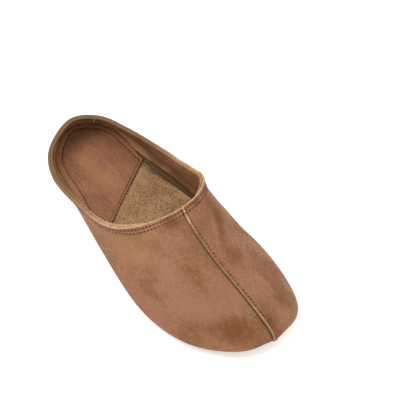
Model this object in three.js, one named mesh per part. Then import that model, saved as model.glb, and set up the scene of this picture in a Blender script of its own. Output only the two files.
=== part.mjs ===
// A babouche slipper for the right foot: a low-backed shell of smooth leather on a soft suede sole.
// Millimetres, +Z up. The last's frame has X from heel to toe, Y towards the medial side, Z from the floor.
import * as THREE from 'three';
import { mergeVertices } from 'three/addons/utils/BufferGeometryUtils.js';

// Driving dimensions of the last
const LENGTH = 248;             // feather line, where upper and sole meet, from heel to toe
const BALL_WIDTH = 101;         // feather line across the ball of the foot
const INSTEP_HEIGHT = 55.5;     // floor to the upper's edge at the front of the opening
const HEEL_HEIGHT = 31.5;       // floor to the upper's edge behind the heel
const TOE_SPRING = 4;           // lift of the sole's tip above the floor
const SPRING_START = 0.78;      // share of the length from which the sole lifts

// Thicknesses and clearances
const OUTSOLE = 4;
const INSOLE = 2;
const HEEL_PAD = 1.8;
const WALL = 2;
const FACING = 1.8;
const GAP = 0.3;                // between pieces that lie on each other
const EDGE_REST = 0.7;          // from the feather line in to the insole's edge
const PAD_REACH = 0;            // from the feather line out to the heel pad's edge
const PAD_BEVEL = 0.5;

// Form of the wall
const BULGE = 7.8;              // how far the wall is drawn out beyond the feather line
const TUCK_RISE = 1.2;          // climb of the wall's margin before it turns up
const SIDE_SHARE = 0.43;        // height of the wall's fullest part, as a share of its height
const CROWN_SHARE = 0.38;       // how far the crown reaches out from the ridge towards the side
const RIM_PULL = 0.35;          // share of the height over which the side meets the edge upright
const TOE_HANDLE = 5;           // roundness of the toe where the ridge turns down
const FAN_PLACE = 3 / 7;        // place on the feather line below the front of the opening
const FAN_SOFTENING = 0.14;     // how far round the wall its form is evened out below that front
const FAN_HALF = 0.4;
const NOSE = 0.6;               // small point at the toe where the seam ends
const NOSE_HALF = 8;

// Lapped seam: the medial panel lies on the lateral one
const LAP = 1.5;
const LAP_FLAT = 7;
const LAP_FADE = 10;
const LAP_FOOT = 0.2;            // share of the wall over which the lap thins out towards the sole

// Band inside the opening
const FACING_DEPTH = 12;
const FACING_GAP = 0.45;

// Slanting front edge of the heel pad, as places on the feather line, 0 at the toe and 1 at the heel
const PAD_FRONT = { lateral: 0.593, medial: 0.714 };

// Facets
const VAMP_COLUMNS = 22;
const SIDE_COLUMNS = 28;
const WALL_ROWS = 12;
const FACING_ROWS = 3;
const SOLE_STATIONS = 44;
const PAD_STATIONS = 18;
const PLATE_STRIPS = 4;

// Feather line: along is a share of the length from the heel, across one of the ball width from the axis
const FEATHER_ROWS = [
  { at: 'toe',             along: 1.000, across: 0.063 },
  { at: 'outer toe',       along: 0.971, across: -0.180 },
  { at: 'little toe',      along: 0.854, across: -0.423 },
  { at: 'outer ball',      along: 0.684, across: -0.518 },
  { at: 'outer waist',     along: 0.458, across: -0.440 },
  { at: 'outer heel seat', along: 0.239, across: -0.323 },
  { at: 'outer heel',      along: 0.082, across: -0.251 },
  { at: 'heel',            along: 0.000, across: 0.025 },
  { at: 'inner heel',      along: 0.076, across: 0.267 },
  { at: 'inner heel seat', along: 0.249, across: 0.313 },
  { at: 'inner waist',     along: 0.469, across: 0.398 },
  { at: 'inner ball',      along: 0.704, across: 0.482 },
  { at: 'big toe side',    along: 0.883, across: 0.459 },
  { at: 'big toe',         along: 0.991, across: 0.337 },
];

// Ridge under the seam, from the toe to the opening: height is a share of the instep height
const RIDGE_ROWS = [
  { at: 'toe',     along: 0.979, across: 0.053, height: 0.434 },
  { at: 'toe box', along: 0.884, across: 0.042, height: 0.591 },
  { at: 'ball',    along: 0.742, across: 0.034, height: 0.735 },
  { at: 'vamp',    along: 0.622, across: 0.046, height: 0.901 },
  { at: 'opening', along: 0.566, across: 0.069, height: 1.000 },
];

// Edge of the opening, from its front round the medial side: rise is a share of the way from the heel's
// height to the instep's
const EDGE_ROWS = [
  { at: 'front',           along: 0.566, across: 0.069, rise: 1.000 },
  { at: 'inner corner',    along: 0.524, across: 0.393, rise: 0.813 },
  { at: 'inner quarter',   along: 0.404, across: 0.374, rise: 0.625 },
  { at: 'inner side',      along: 0.317, across: 0.361, rise: 0.358 },
  { at: 'inner heel side', along: 0.177, across: 0.303, rise: 0.067 },
  { at: 'inner back',      along: 0.060, across: 0.212, rise: -0.179 },
  { at: 'back',            along: 0.023, across: -0.027, rise: 0.000 },
  { at: 'outer back',      along: 0.070, across: -0.308, rise: -0.188 },
  { at: 'outer heel side', along: 0.176, across: -0.452, rise: -0.071 },
  { at: 'outer side',      along: 0.305, across: -0.459, rise: 0.029 },
  { at: 'outer quarter',   along: 0.440, across: -0.436, rise: 0.379 },
  { at: 'outer corner',    along: 0.515, across: -0.285, rise: 0.604 },
];

const smoothstep = THREE.MathUtils.smoothstep;
const lerp = THREE.MathUtils.lerp;

// Height of the sole at x: flat from the heel to the ball, then a curve up to the toe
function spring(x) {
  const reach = Math.max(0, x / LENGTH - SPRING_START) / (1 - SPRING_START);
  return TOE_SPRING * reach * reach;
}

// Curves through the rows of the tables
const UNIFORM = 0.5;

function curveThrough(rows, heightOf, closed) {
  const points = rows.map((row) => new THREE.Vector3(
    row.along * LENGTH, row.across * BALL_WIDTH, heightOf(row)));
  return new THREE.CatmullRomCurve3(points, closed, 'catmullrom', UNIFORM);
}

const featherCurve = curveThrough(FEATHER_ROWS, () => 0, true);
const ridgeCurve = curveThrough(RIDGE_ROWS, (row) => row.height * INSTEP_HEIGHT, false);
const edgeCurve = curveThrough(
  EDGE_ROWS, (row) => lerp(HEEL_HEIGHT, INSTEP_HEIGHT, row.rise), true);
const toeTip = featherCurve.getPoint(0);

// A point of one side's feather line, at a place from 0 at the toe to 1 at the heel, with its outward
// direction. The nose draws the toe out to a small point.
function feather(side, place) {
  const t = side < 0 ? place / 2 : (1 - place / 2) % 1;
  const point = featherCurve.getPoint(t);
  const tangent = featherCurve.getTangent(t);
  const outward = new THREE.Vector3(-tangent.y, tangent.x, 0).normalize();
  const nearTip = Math.min(point.distanceTo(toeTip) / NOSE_HALF, 1);
  point.addScaledVector(outward, NOSE * Math.cos(nearTip * Math.PI / 2) ** 2);
  return { point, outward };
}

// Lie of the crown at a share of the ridge, 0 at the toe and 1 at the opening: the ridge's direction
// towards the toe, and the climb of the crown along X and along Y
const edgeSweep = edgeCurve.getTangent(0.002).add(edgeCurve.getTangent(0.998));

function crownLie(share) {
  const toward = ridgeCurve.getTangent(share).negate();
  const frontAlong = ridgeCurve.getTangent(1);
  const frontClimb = frontAlong.z / frontAlong.x;
  const acrossClimb = (edgeSweep.z - frontClimb * edgeSweep.x) / edgeSweep.y * share;
  const alongClimb = (toward.z - acrossClimb * toward.y) / toward.x;
  return { toward, alongClimb, acrossClimb };
}

// The wall's columns are curves of five control points from the feather line to the ridge or the edge.
// Round the shoe, u runs from -2 at the heel along the lateral side to 0 at the toe and along the medial
// side to 2 at the heel again. Columns within 1 of the toe end on the ridge, the others on the edge.
function column(u) {
  const side = u < 0 ? -1 : 1;
  const vamp = Math.min(Math.abs(u), 1);
  const quarter = Math.max(Math.abs(u) - 1, 0);
  const { point, outward } = feather(side, lerp(vamp * FAN_PLACE, 1, quarter));
  const foot = point.setZ(OUTSOLE + GAP + spring(point.x));
  const edgeShare = side > 0 ? quarter / 2 : 1 - quarter / 2;
  const top = quarter > 0 ? edgeCurve.getPoint(edgeShare) : ridgeCurve.getPoint(vamp);
  const height = top.z - foot.z;

  const tuck = foot.clone().addScaledVector(outward, BULGE);
  tuck.z += TUCK_RISE;
  const full = foot.clone().addScaledVector(outward, BULGE);
  full.z += SIDE_SHARE * height;

  const crowning = 1 - smoothstep(quarter, 0, 1 / 3);
  const { toward, alongClimb, acrossClimb } = crownLie(vamp);
  const reach = foot.clone().sub(top);
  reach.z = alongClimb * reach.x + acrossClimb * reach.y;
  const crown = top.clone().addScaledVector(reach, CROWN_SHARE * crowning);
  crown.z -= RIM_PULL * height * (1 - crowning);
  crown.addScaledVector(toward, TOE_HANDLE * (1 - smoothstep(vamp, 0, 0.25)));
  return [foot, tuck, full, crown, top];
}

// Bernstein weights of five control points
function weights(v) {
  const w = 1 - v;
  return [w ** 4, 4 * v * w ** 3, 6 * v * v * w * w, 4 * v ** 3 * w, v ** 4];
}

function blend(points, shares) {
  const sum = new THREE.Vector3();
  points.forEach((point, i) => sum.addScaledVector(point, shares[i]));
  return sum;
}

const ROUND = 4;
const STEP = 1e-3;
const wrap = (u) => THREE.MathUtils.euclideanModulo(u + 2, ROUND) - 2;
const plainFace = (u, v) => blend(column(wrap(u)), weights(v));

// The outer face. Where the columns fan out below the front of the opening, neighbouring columns are
// averaged, most at mid height, so that no crease runs down from it.
const TAPS = [1, 2, 3, 2, 1];

function outerFace(u, v) {
  const fromFan = Math.abs(Math.abs(wrap(u)) - 1);
  const reach = FAN_SOFTENING * 4 * v * (1 - v) * (1 - smoothstep(fromFan, 0, FAN_HALF));
  if (reach === 0) {
    return plainFace(u, v);
  }
  const total = TAPS.reduce((sum, tap) => sum + tap);
  const around = TAPS.map((_, i) => plainFace(u + (i - 2) * reach / 2, v));
  return blend(around, TAPS.map((tap) => tap / total));
}

// Outward direction of the wall. On the ridge it is square to the crown's lie, which both sides share.
function outwardAt(u, v) {
  if (v === 1 && Math.abs(u) <= 1) {
    const { alongClimb, acrossClimb } = crownLie(Math.abs(u));
    return new THREE.Vector3(-alongClimb, -acrossClimb, 1).normalize();
  }
  const round = outerFace(u + STEP, v).sub(outerFace(u - STEP, v));
  const upward = outerFace(u, Math.min(v + STEP, 1)).sub(outerFace(u, Math.max(v - STEP, 0)));
  return round.cross(upward).normalize();
}

// Shortest way from a point to a line of points
function distanceTo(line, point) {
  const closest = new THREE.Vector3();
  let least = Infinity;
  for (let i = 1; i < line.length; i += 1) {
    new THREE.Line3(line[i - 1], line[i]).closestPointToPoint(point, true, closest);
    least = Math.min(least, closest.distanceTo(point));
  }
  return least;
}

const SEAM_STEPS = 40;
const seamLine = [...ridgeCurve.getPoints(SEAM_STEPS)].reverse();
for (let i = 1; i <= SEAM_STEPS; i += 1) {
  seamLine.push(outerFace(0, 1 - i / SEAM_STEPS));
}
const edgeLine = edgeCurve.getPoints(6 * SEAM_STEPS);

// How far the lapping panel stands above the wall
function lapAt(u, v) {
  const away = distanceTo(seamLine, outerFace(u, v));
  return LAP * smoothstep(v, 0, LAP_FOOT) * (1 - smoothstep(away, LAP_FLAT, LAP_FLAT + LAP_FADE));
}

// A point of the wall at a depth below its outer face
function wallPoint(u, v, depth) {
  return outerFace(u, v).addScaledVector(outwardAt(u, v), -depth);
}

// Triangles between named corners, gathered into one closed mesh
class Facets {
  constructor() {
    this.positions = [];
  }

  triangle(a, b, c) {
    const area = b.clone().sub(a).cross(c.clone().sub(a)).length();
    if (area > 1e-7) {
      this.positions.push(...a.toArray(), ...b.toArray(), ...c.toArray());
    }
  }

  quad(a, b, c, d, flip) {
    if (flip) {
      this.triangle(a, d, b);
      this.triangle(d, c, b);
    } else {
      this.triangle(a, b, d);
      this.triangle(b, c, d);
    }
  }

  // A sheet of quads over a grid of points
  sheet(grid, flip) {
    for (let j = 1; j < grid.length; j += 1) {
      for (let i = 1; i < grid[j].length; i += 1) {
        this.quad(grid[j - 1][i - 1], grid[j][i - 1], grid[j][i], grid[j - 1][i], flip);
      }
    }
  }

  geometry() {
    const geometry = new THREE.BufferGeometry();
    geometry.setAttribute('position', new THREE.Float32BufferAttribute(this.positions, 3));
    const merged = mergeVertices(geometry, 1e-4);
    merged.computeVertexNormals();
    return merged;
  }
}

// A shell of the wall between two depths. Its columns stand at the given distances from the toe on both
// sides, and reach from lowest(u) up to the ridge or the edge.
function shellGeometry({ stands, rows, lowest, outer, inner, lapped }) {
  const facets = new Facets();
  const halves = [-1, 1].map((side) => {
    const raised = lapped && side > 0;
    const out = [];
    const inn = [];
    for (const stand of stands) {
      const u = side * stand;
      const from = lowest(u);
      const outColumn = [];
      const innColumn = [];
      for (let i = 0; i <= rows; i += 1) {
        const v = i === rows ? 1 : lerp(from, 1, i / rows);
        outColumn.push(wallPoint(u, v, raised ? outer - lapAt(u, v) : outer));
        innColumn.push(wallPoint(u, v, inner));
      }
      out.push(outColumn);
      inn.push(innColumn);
    }
    return { out, inn };
  });
  const [lateral, medial] = halves;
  const seamEnd = stands.findIndex((stand) => stand >= 1);
  halves.forEach(({ out, inn }, index) => {
    const flip = index === 0;
    facets.sheet(out, flip);
    facets.sheet(inn, !flip);
    const lowerEdge = out.map((outColumn, j) => [inn[j][0], outColumn[0]]);
    facets.sheet(lowerEdge, flip);
    const upperEdge = out.map((outColumn, j) => [outColumn[rows], inn[j][rows]]);
    facets.sheet(upperEdge.slice(lapped && !flip ? seamEnd + 1 : seamEnd), flip);
  });
  if (lapped) {
    const along = stands.slice(0, seamEnd + 1).map((_, j) => [lateral.out[j][rows], medial.out[j][rows]]);
    facets.sheet(along, true);
    const down = lateral.out[0].map((point, i) => [point, medial.out[0][i]]);
    facets.sheet(down, true);
    const corner = lateral.out[seamEnd][rows];
    facets.triangle(corner, medial.out[seamEnd][rows], medial.out[seamEnd + 1][rows]);
    facets.triangle(corner, medial.out[seamEnd + 1][rows], medial.inn[seamEnd + 1][rows]);
    facets.triangle(corner, medial.inn[seamEnd + 1][rows], medial.inn[seamEnd][rows]);
  }
  return facets.geometry();
}

// Distances from the toe at which the wall's columns stand, closer together at the toe and the corners
function columnStands() {
  const ease = (t) => lerp(t, (1 - Math.cos(Math.PI * t)) / 2, 0.6);
  const stands = [];
  for (let k = 0; k < VAMP_COLUMNS; k += 1) {
    stands.push(ease(k / VAMP_COLUMNS));
  }
  for (let k = 0; k <= SIDE_COLUMNS; k += 1) {
    const share = k / SIDE_COLUMNS;
    stands.push(1 + lerp(share, share ** 1.6, 0.6));
  }
  return stands;
}

// A plate on the sole between rings, each standing out from the feather line at its own height. front
// gives the place on each side where the plate starts; both sides end at the heel.
function plateGeometry({ rings, front, stations }) {
  const facets = new Facets();
  const levels = rings.map(({ out, height }) => {
    const level = [];
    for (let k = 0; k <= stations; k += 1) {
      const ends = [[-1, front.lateral], [1, front.medial]].map(([side, from]) => {
        const { point, outward } = feather(side, lerp(from, 1, k / stations));
        return point.addScaledVector(outward, out);
      });
      const row = [];
      for (let m = 0; m <= PLATE_STRIPS; m += 1) {
        const point = ends[0].clone().lerp(ends[1], m / PLATE_STRIPS);
        point.z = height + spring(point.x);
        row.push(point);
      }
      level.push(row);
    }
    return level;
  });
  facets.sheet(levels[0], false);
  facets.sheet(levels[levels.length - 1], true);
  const rim = (level) => [
    ...level.map((row) => row[0]),
    ...level[stations].slice(1),
    ...level.slice(0, stations).reverse().map((row) => row[PLATE_STRIPS]),
    ...level[0].slice(0, PLATE_STRIPS).reverse(),
  ];
  for (let r = 1; r < levels.length; r += 1) {
    const below = rim(levels[r - 1]);
    const above = rim(levels[r]);
    facets.sheet(below.map((point, i) => [point, above[i]]), true);
  }
  return facets.geometry();
}

function outsoleGeometry() {
  const rings = [
    { out: -1.4, height: 0 },
    { out: 0.2, height: 0.8 },
    { out: 0.6, height: OUTSOLE / 2 },
    { out: 0.3, height: OUTSOLE },
  ];
  return plateGeometry({ rings, front: { lateral: 0, medial: 0 }, stations: SOLE_STATIONS });
}

function insoleGeometry() {
  const base = OUTSOLE + GAP;
  const rings = [
    { out: -EDGE_REST, height: base },
    { out: -EDGE_REST, height: base + INSOLE },
  ];
  return plateGeometry({ rings, front: { lateral: 0, medial: 0 }, stations: SOLE_STATIONS });
}

function heelPadGeometry() {
  const base = OUTSOLE + INSOLE + 2 * GAP;
  const rings = [
    { out: PAD_REACH, height: base },
    { out: PAD_REACH, height: base + HEEL_PAD - PAD_BEVEL },
    { out: PAD_REACH - PAD_BEVEL, height: base + HEEL_PAD },
  ];
  return plateGeometry({ rings, front: PAD_FRONT, stations: PAD_STATIONS });
}

function upperGeometry() {
  return shellGeometry({
    stands: columnStands(),
    rows: WALL_ROWS,
    lowest: () => 0,
    outer: 0,
    inner: WALL,
    lapped: true,
  });
}

// Lowest part of a column that lies within the facing's depth of the edge
function facingFoot(u) {
  let near = 1;
  let far = 0;
  for (let i = 0; i < 24; i += 1) {
    const middle = (near + far) / 2;
    if (distanceTo(edgeLine, outerFace(u, middle)) < FACING_DEPTH) {
      near = middle;
    } else {
      far = middle;
    }
  }
  return near;
}

function facingGeometry() {
  const onBand = (stand) => distanceTo(edgeLine, ridgeCurve.getPoint(stand)) < FACING_DEPTH;
  const stands = columnStands().filter((stand) => stand >= 1 || onBand(stand));
  let start = stands[0];
  while (onBand(start - STEP)) {
    start -= STEP;
  }
  stands.unshift(start);
  return shellGeometry({
    stands,
    rows: FACING_ROWS,
    lowest: (u) => (Math.abs(u) === start ? 1 : facingFoot(u)),
    outer: WALL + FACING_GAP,
    inner: WALL + FACING_GAP + FACING,
    lapped: false,
  });
}

// Leathers
const smoothLeather = new THREE.MeshStandardMaterial({ color: 0xa57a5c, roughness: 0.62, metalness: 0 });
const facingLeather = new THREE.MeshStandardMaterial({ color: 0x9c7452, roughness: 0.75, metalness: 0 });
const padLeather = new THREE.MeshStandardMaterial({ color: 0x9a6a50, roughness: 0.6, metalness: 0 });
const suede = new THREE.MeshStandardMaterial({ color: 0x97764f, roughness: 0.95, metalness: 0 });

const last = new THREE.Group();

function add(name, geometry, material) {
  const mesh = new THREE.Mesh(geometry, material);
  mesh.name = name;
  last.add(mesh);
}

add('outsole', outsoleGeometry(), suede);
add('upper', upperGeometry(), smoothLeather);
add('collar_facing', facingGeometry(), facingLeather);
add('insole', insoleGeometry(), suede);
add('heel_pad', heelPadGeometry(), padLeather);

// The slipper's origin is the middle of its footprint, on the floor
const slipper = new THREE.Group();
slipper.add(last);
const box = new THREE.Box3().setFromObject(last);
const middle = box.getCenter(new THREE.Vector3());
last.position.set(-middle.x, -middle.y, -box.min.z);

export default slipper;
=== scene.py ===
"""The looks of a babouche slipper for the right foot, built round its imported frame.

The last is worked out here in millimetres, as a maker would size it, and every piece is put in the frame's
metres when its mesh is made.
"""
import logging
import math
from dataclasses import dataclass, field
from enum import Enum
from typing import Callable, NamedTuple, Sequence

import bmesh
import bpy
import numpy as np
from mathutils import Matrix, Vector


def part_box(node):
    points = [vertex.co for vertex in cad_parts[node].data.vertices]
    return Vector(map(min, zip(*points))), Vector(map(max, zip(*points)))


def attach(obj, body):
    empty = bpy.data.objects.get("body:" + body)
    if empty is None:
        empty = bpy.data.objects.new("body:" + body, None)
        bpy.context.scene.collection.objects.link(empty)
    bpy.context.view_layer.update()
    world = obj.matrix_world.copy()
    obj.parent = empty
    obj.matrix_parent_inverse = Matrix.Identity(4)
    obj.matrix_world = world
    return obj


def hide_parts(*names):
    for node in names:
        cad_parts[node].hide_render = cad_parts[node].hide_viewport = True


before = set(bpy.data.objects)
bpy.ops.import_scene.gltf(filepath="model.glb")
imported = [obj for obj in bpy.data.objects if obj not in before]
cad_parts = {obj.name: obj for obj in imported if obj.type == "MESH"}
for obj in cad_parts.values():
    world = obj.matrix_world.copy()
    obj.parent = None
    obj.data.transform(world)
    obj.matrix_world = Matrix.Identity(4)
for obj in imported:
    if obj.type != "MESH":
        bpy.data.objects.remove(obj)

log = logging.getLogger("babouche")

MM = 0.001
BODY = "root"
IN_PLAN = np.array([1.0, 1.0, 0.0])
UP = np.array([0.0, 0.0, 1.0])

# Distances from the edge beside them, in millimetres, of the stitched rows and the pressed lines.
RIM_ROWS = (2.6, 5.4)
SEAM_ROW = 2.0
PAD_ROW = 2.7
PAD_FRONT_ROW = 1.8
FACING_LINES = (1.8, 4.8, 7.8, 10.8)
INNER_LINES = (13.8, 16.8, 19.8)

# The pressed lines' spacing and half their width, in millimetres.
LINE_PITCH = 3.0
LINE_HALF = 0.8

# How far the frame's outsole stands out from the feather line.
SOLE_OUT = 0.6


def smoothstep(value: np.ndarray | float, low: float, high: float) -> np.ndarray:
    """Rises from 0 at low to 1 at high with flat ends."""
    share = np.clip((np.asarray(value, float) - low) / (high - low), 0, 1)
    return share * share * (3 - 2 * share)


def lerp(low: np.ndarray | float, high: np.ndarray | float, share: np.ndarray | float) -> np.ndarray | float:
    """The value at a share of the way from low to high."""
    return low + (high - low) * share


def unit(vectors: np.ndarray) -> np.ndarray:
    """The vectors at a length of 1."""
    return vectors / np.maximum(np.linalg.norm(vectors, axis=-1, keepdims=True), 1e-12)


HALVINGS = 22


def last_inside(inside: Callable[[np.ndarray], np.ndarray], near: np.ndarray | float,
                far: np.ndarray | float) -> np.ndarray:
    """The last places from near towards far at which inside still holds, found by halving."""
    for _ in range(HALVINGS):
        middle = (near + far) / 2
        held = inside(middle)
        near, far = np.where(held, middle, near), np.where(held, far, middle)
    return near


class Row(NamedTuple):
    """A point that a curve of the last runs through, as shares of the last's own sizes."""

    place: str
    along: float
    across: float
    level: float = 0.0


FEATHER_ROWS = (
    Row("toe", 1.000, 0.063),
    Row("outer toe", 0.971, -0.180),
    Row("little toe", 0.854, -0.423),
    Row("outer ball", 0.684, -0.518),
    Row("outer waist", 0.458, -0.440),
    Row("outer heel seat", 0.239, -0.323),
    Row("outer heel", 0.082, -0.251),
    Row("heel", 0.000, 0.025),
    Row("inner heel", 0.076, 0.267),
    Row("inner heel seat", 0.249, 0.313),
    Row("inner waist", 0.469, 0.398),
    Row("inner ball", 0.704, 0.482),
    Row("big toe side", 0.883, 0.459),
    Row("big toe", 0.991, 0.337),
)

RIDGE_ROWS = (
    Row("toe", 0.979, 0.053, 0.434),
    Row("toe box", 0.884, 0.042, 0.591),
    Row("ball", 0.742, 0.034, 0.735),
    Row("vamp", 0.622, 0.046, 0.901),
    Row("opening", 0.566, 0.069, 1.000),
)

EDGE_ROWS = (
    Row("front", 0.566, 0.069, 1.000),
    Row("inner corner", 0.524, 0.393, 0.813),
    Row("inner quarter", 0.404, 0.374, 0.625),
    Row("inner side", 0.317, 0.361, 0.358),
    Row("inner heel side", 0.177, 0.303, 0.067),
    Row("inner back", 0.060, 0.212, -0.179),
    Row("back", 0.023, -0.027, 0.000),
    Row("outer back", 0.070, -0.308, -0.188),
    Row("outer heel side", 0.176, -0.452, -0.071),
    Row("outer side", 0.305, -0.459, 0.029),
    Row("outer quarter", 0.440, -0.436, 0.379),
    Row("outer corner", 0.515, -0.285, 0.604),
)


class Curve:
    """A uniform Catmull-Rom curve through the rows of a table."""

    def __init__(self, points: np.ndarray, closed: bool) -> None:
        """Keeps the points that the curve runs through.

        Args:
            points: one row for each point.
            closed: whether the last point leads to the first again.
        """
        self.points = np.asarray(points, float)
        self.closed = closed

    def at(self, share: np.ndarray | float) -> np.ndarray:
        """Points at shares of the way round, or from end to end."""
        count = len(self.points)
        share = np.asarray(share, float)
        if self.closed:
            place = (share % 1.0) * count
            start = np.floor(place).astype(int)
            near = [self.points[(start + step) % count] for step in (-1, 0, 1, 2)]
        else:
            place = np.clip(share, 0, 1 - 1e-12) * (count - 1)
            start = np.floor(place).astype(int)
            before, after = 2 * self.points[0] - self.points[1], 2 * self.points[-1] - self.points[-2]
            ends = np.vstack([before, self.points, after])
            near = [ends[start + step] for step in (0, 1, 2, 3)]
        t = (place - start)[..., None]
        a, b, c, d = near
        square, cube = 2 * a - 5 * b + 4 * c - d, 3 * b - a - 3 * c + d
        return 0.5 * (2 * b + (c - a) * t + square * t**2 + cube * t**3)

    def tangent(self, share: np.ndarray | float) -> np.ndarray:
        """Directions along the curve."""
        step = 1e-4
        share = np.asarray(share, float)
        if not self.closed:
            return unit(self.at(np.minimum(share + step, 1)) - self.at(np.maximum(share - step, 0)))
        return unit(self.at(share + step) - self.at(share - step))


def distance_to(line: np.ndarray, points: np.ndarray) -> np.ndarray:
    """Shortest ways from points to a line of points.

    Args:
        line: the line's points, in order.
        points: any array whose last axis is x, y, z.

    Returns:
        The distances, in the shape of points without its last axis.
    """
    flat = points.reshape(-1, 3)
    least = np.full(len(flat), np.inf)
    for start, end in zip(line[:-1], line[1:]):
        way = end - start
        share = np.clip((flat - start) @ way / max(way @ way, 1e-12), 0, 1)
        least = np.minimum(least, np.linalg.norm(flat - start - share[:, None] * way, axis=1))
    return least.reshape(points.shape[:-1])


@dataclass(frozen=True)
class Spot:
    """A soft-edged place in the last's plan, in millimetres, which lifts the wall or shows a shade."""

    along: float
    across: float
    half_along: float
    half_across: float
    heading: float
    strength: float

    def at(self, points: np.ndarray) -> np.ndarray:
        """The spot's strength at these points."""
        turn = math.radians(self.heading)
        dx, dy = points[..., 0] - self.along, points[..., 1] - self.across
        down = (dx * math.cos(turn) + dy * math.sin(turn)) / self.half_along
        over = (dy * math.cos(turn) - dx * math.sin(turn)) / self.half_across
        return self.strength * np.exp(-down * down - over * over)


Spots = dict[str, tuple[Spot, ...]]


def shades_at(spots: Spots, points: np.ndarray) -> dict[str, np.ndarray]:
    """How strongly each shade shows at these points, from 0 to 1."""
    return {label: np.clip(sum(spot.at(points) for spot in group), 0, 1) for label, group in spots.items()}


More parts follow.
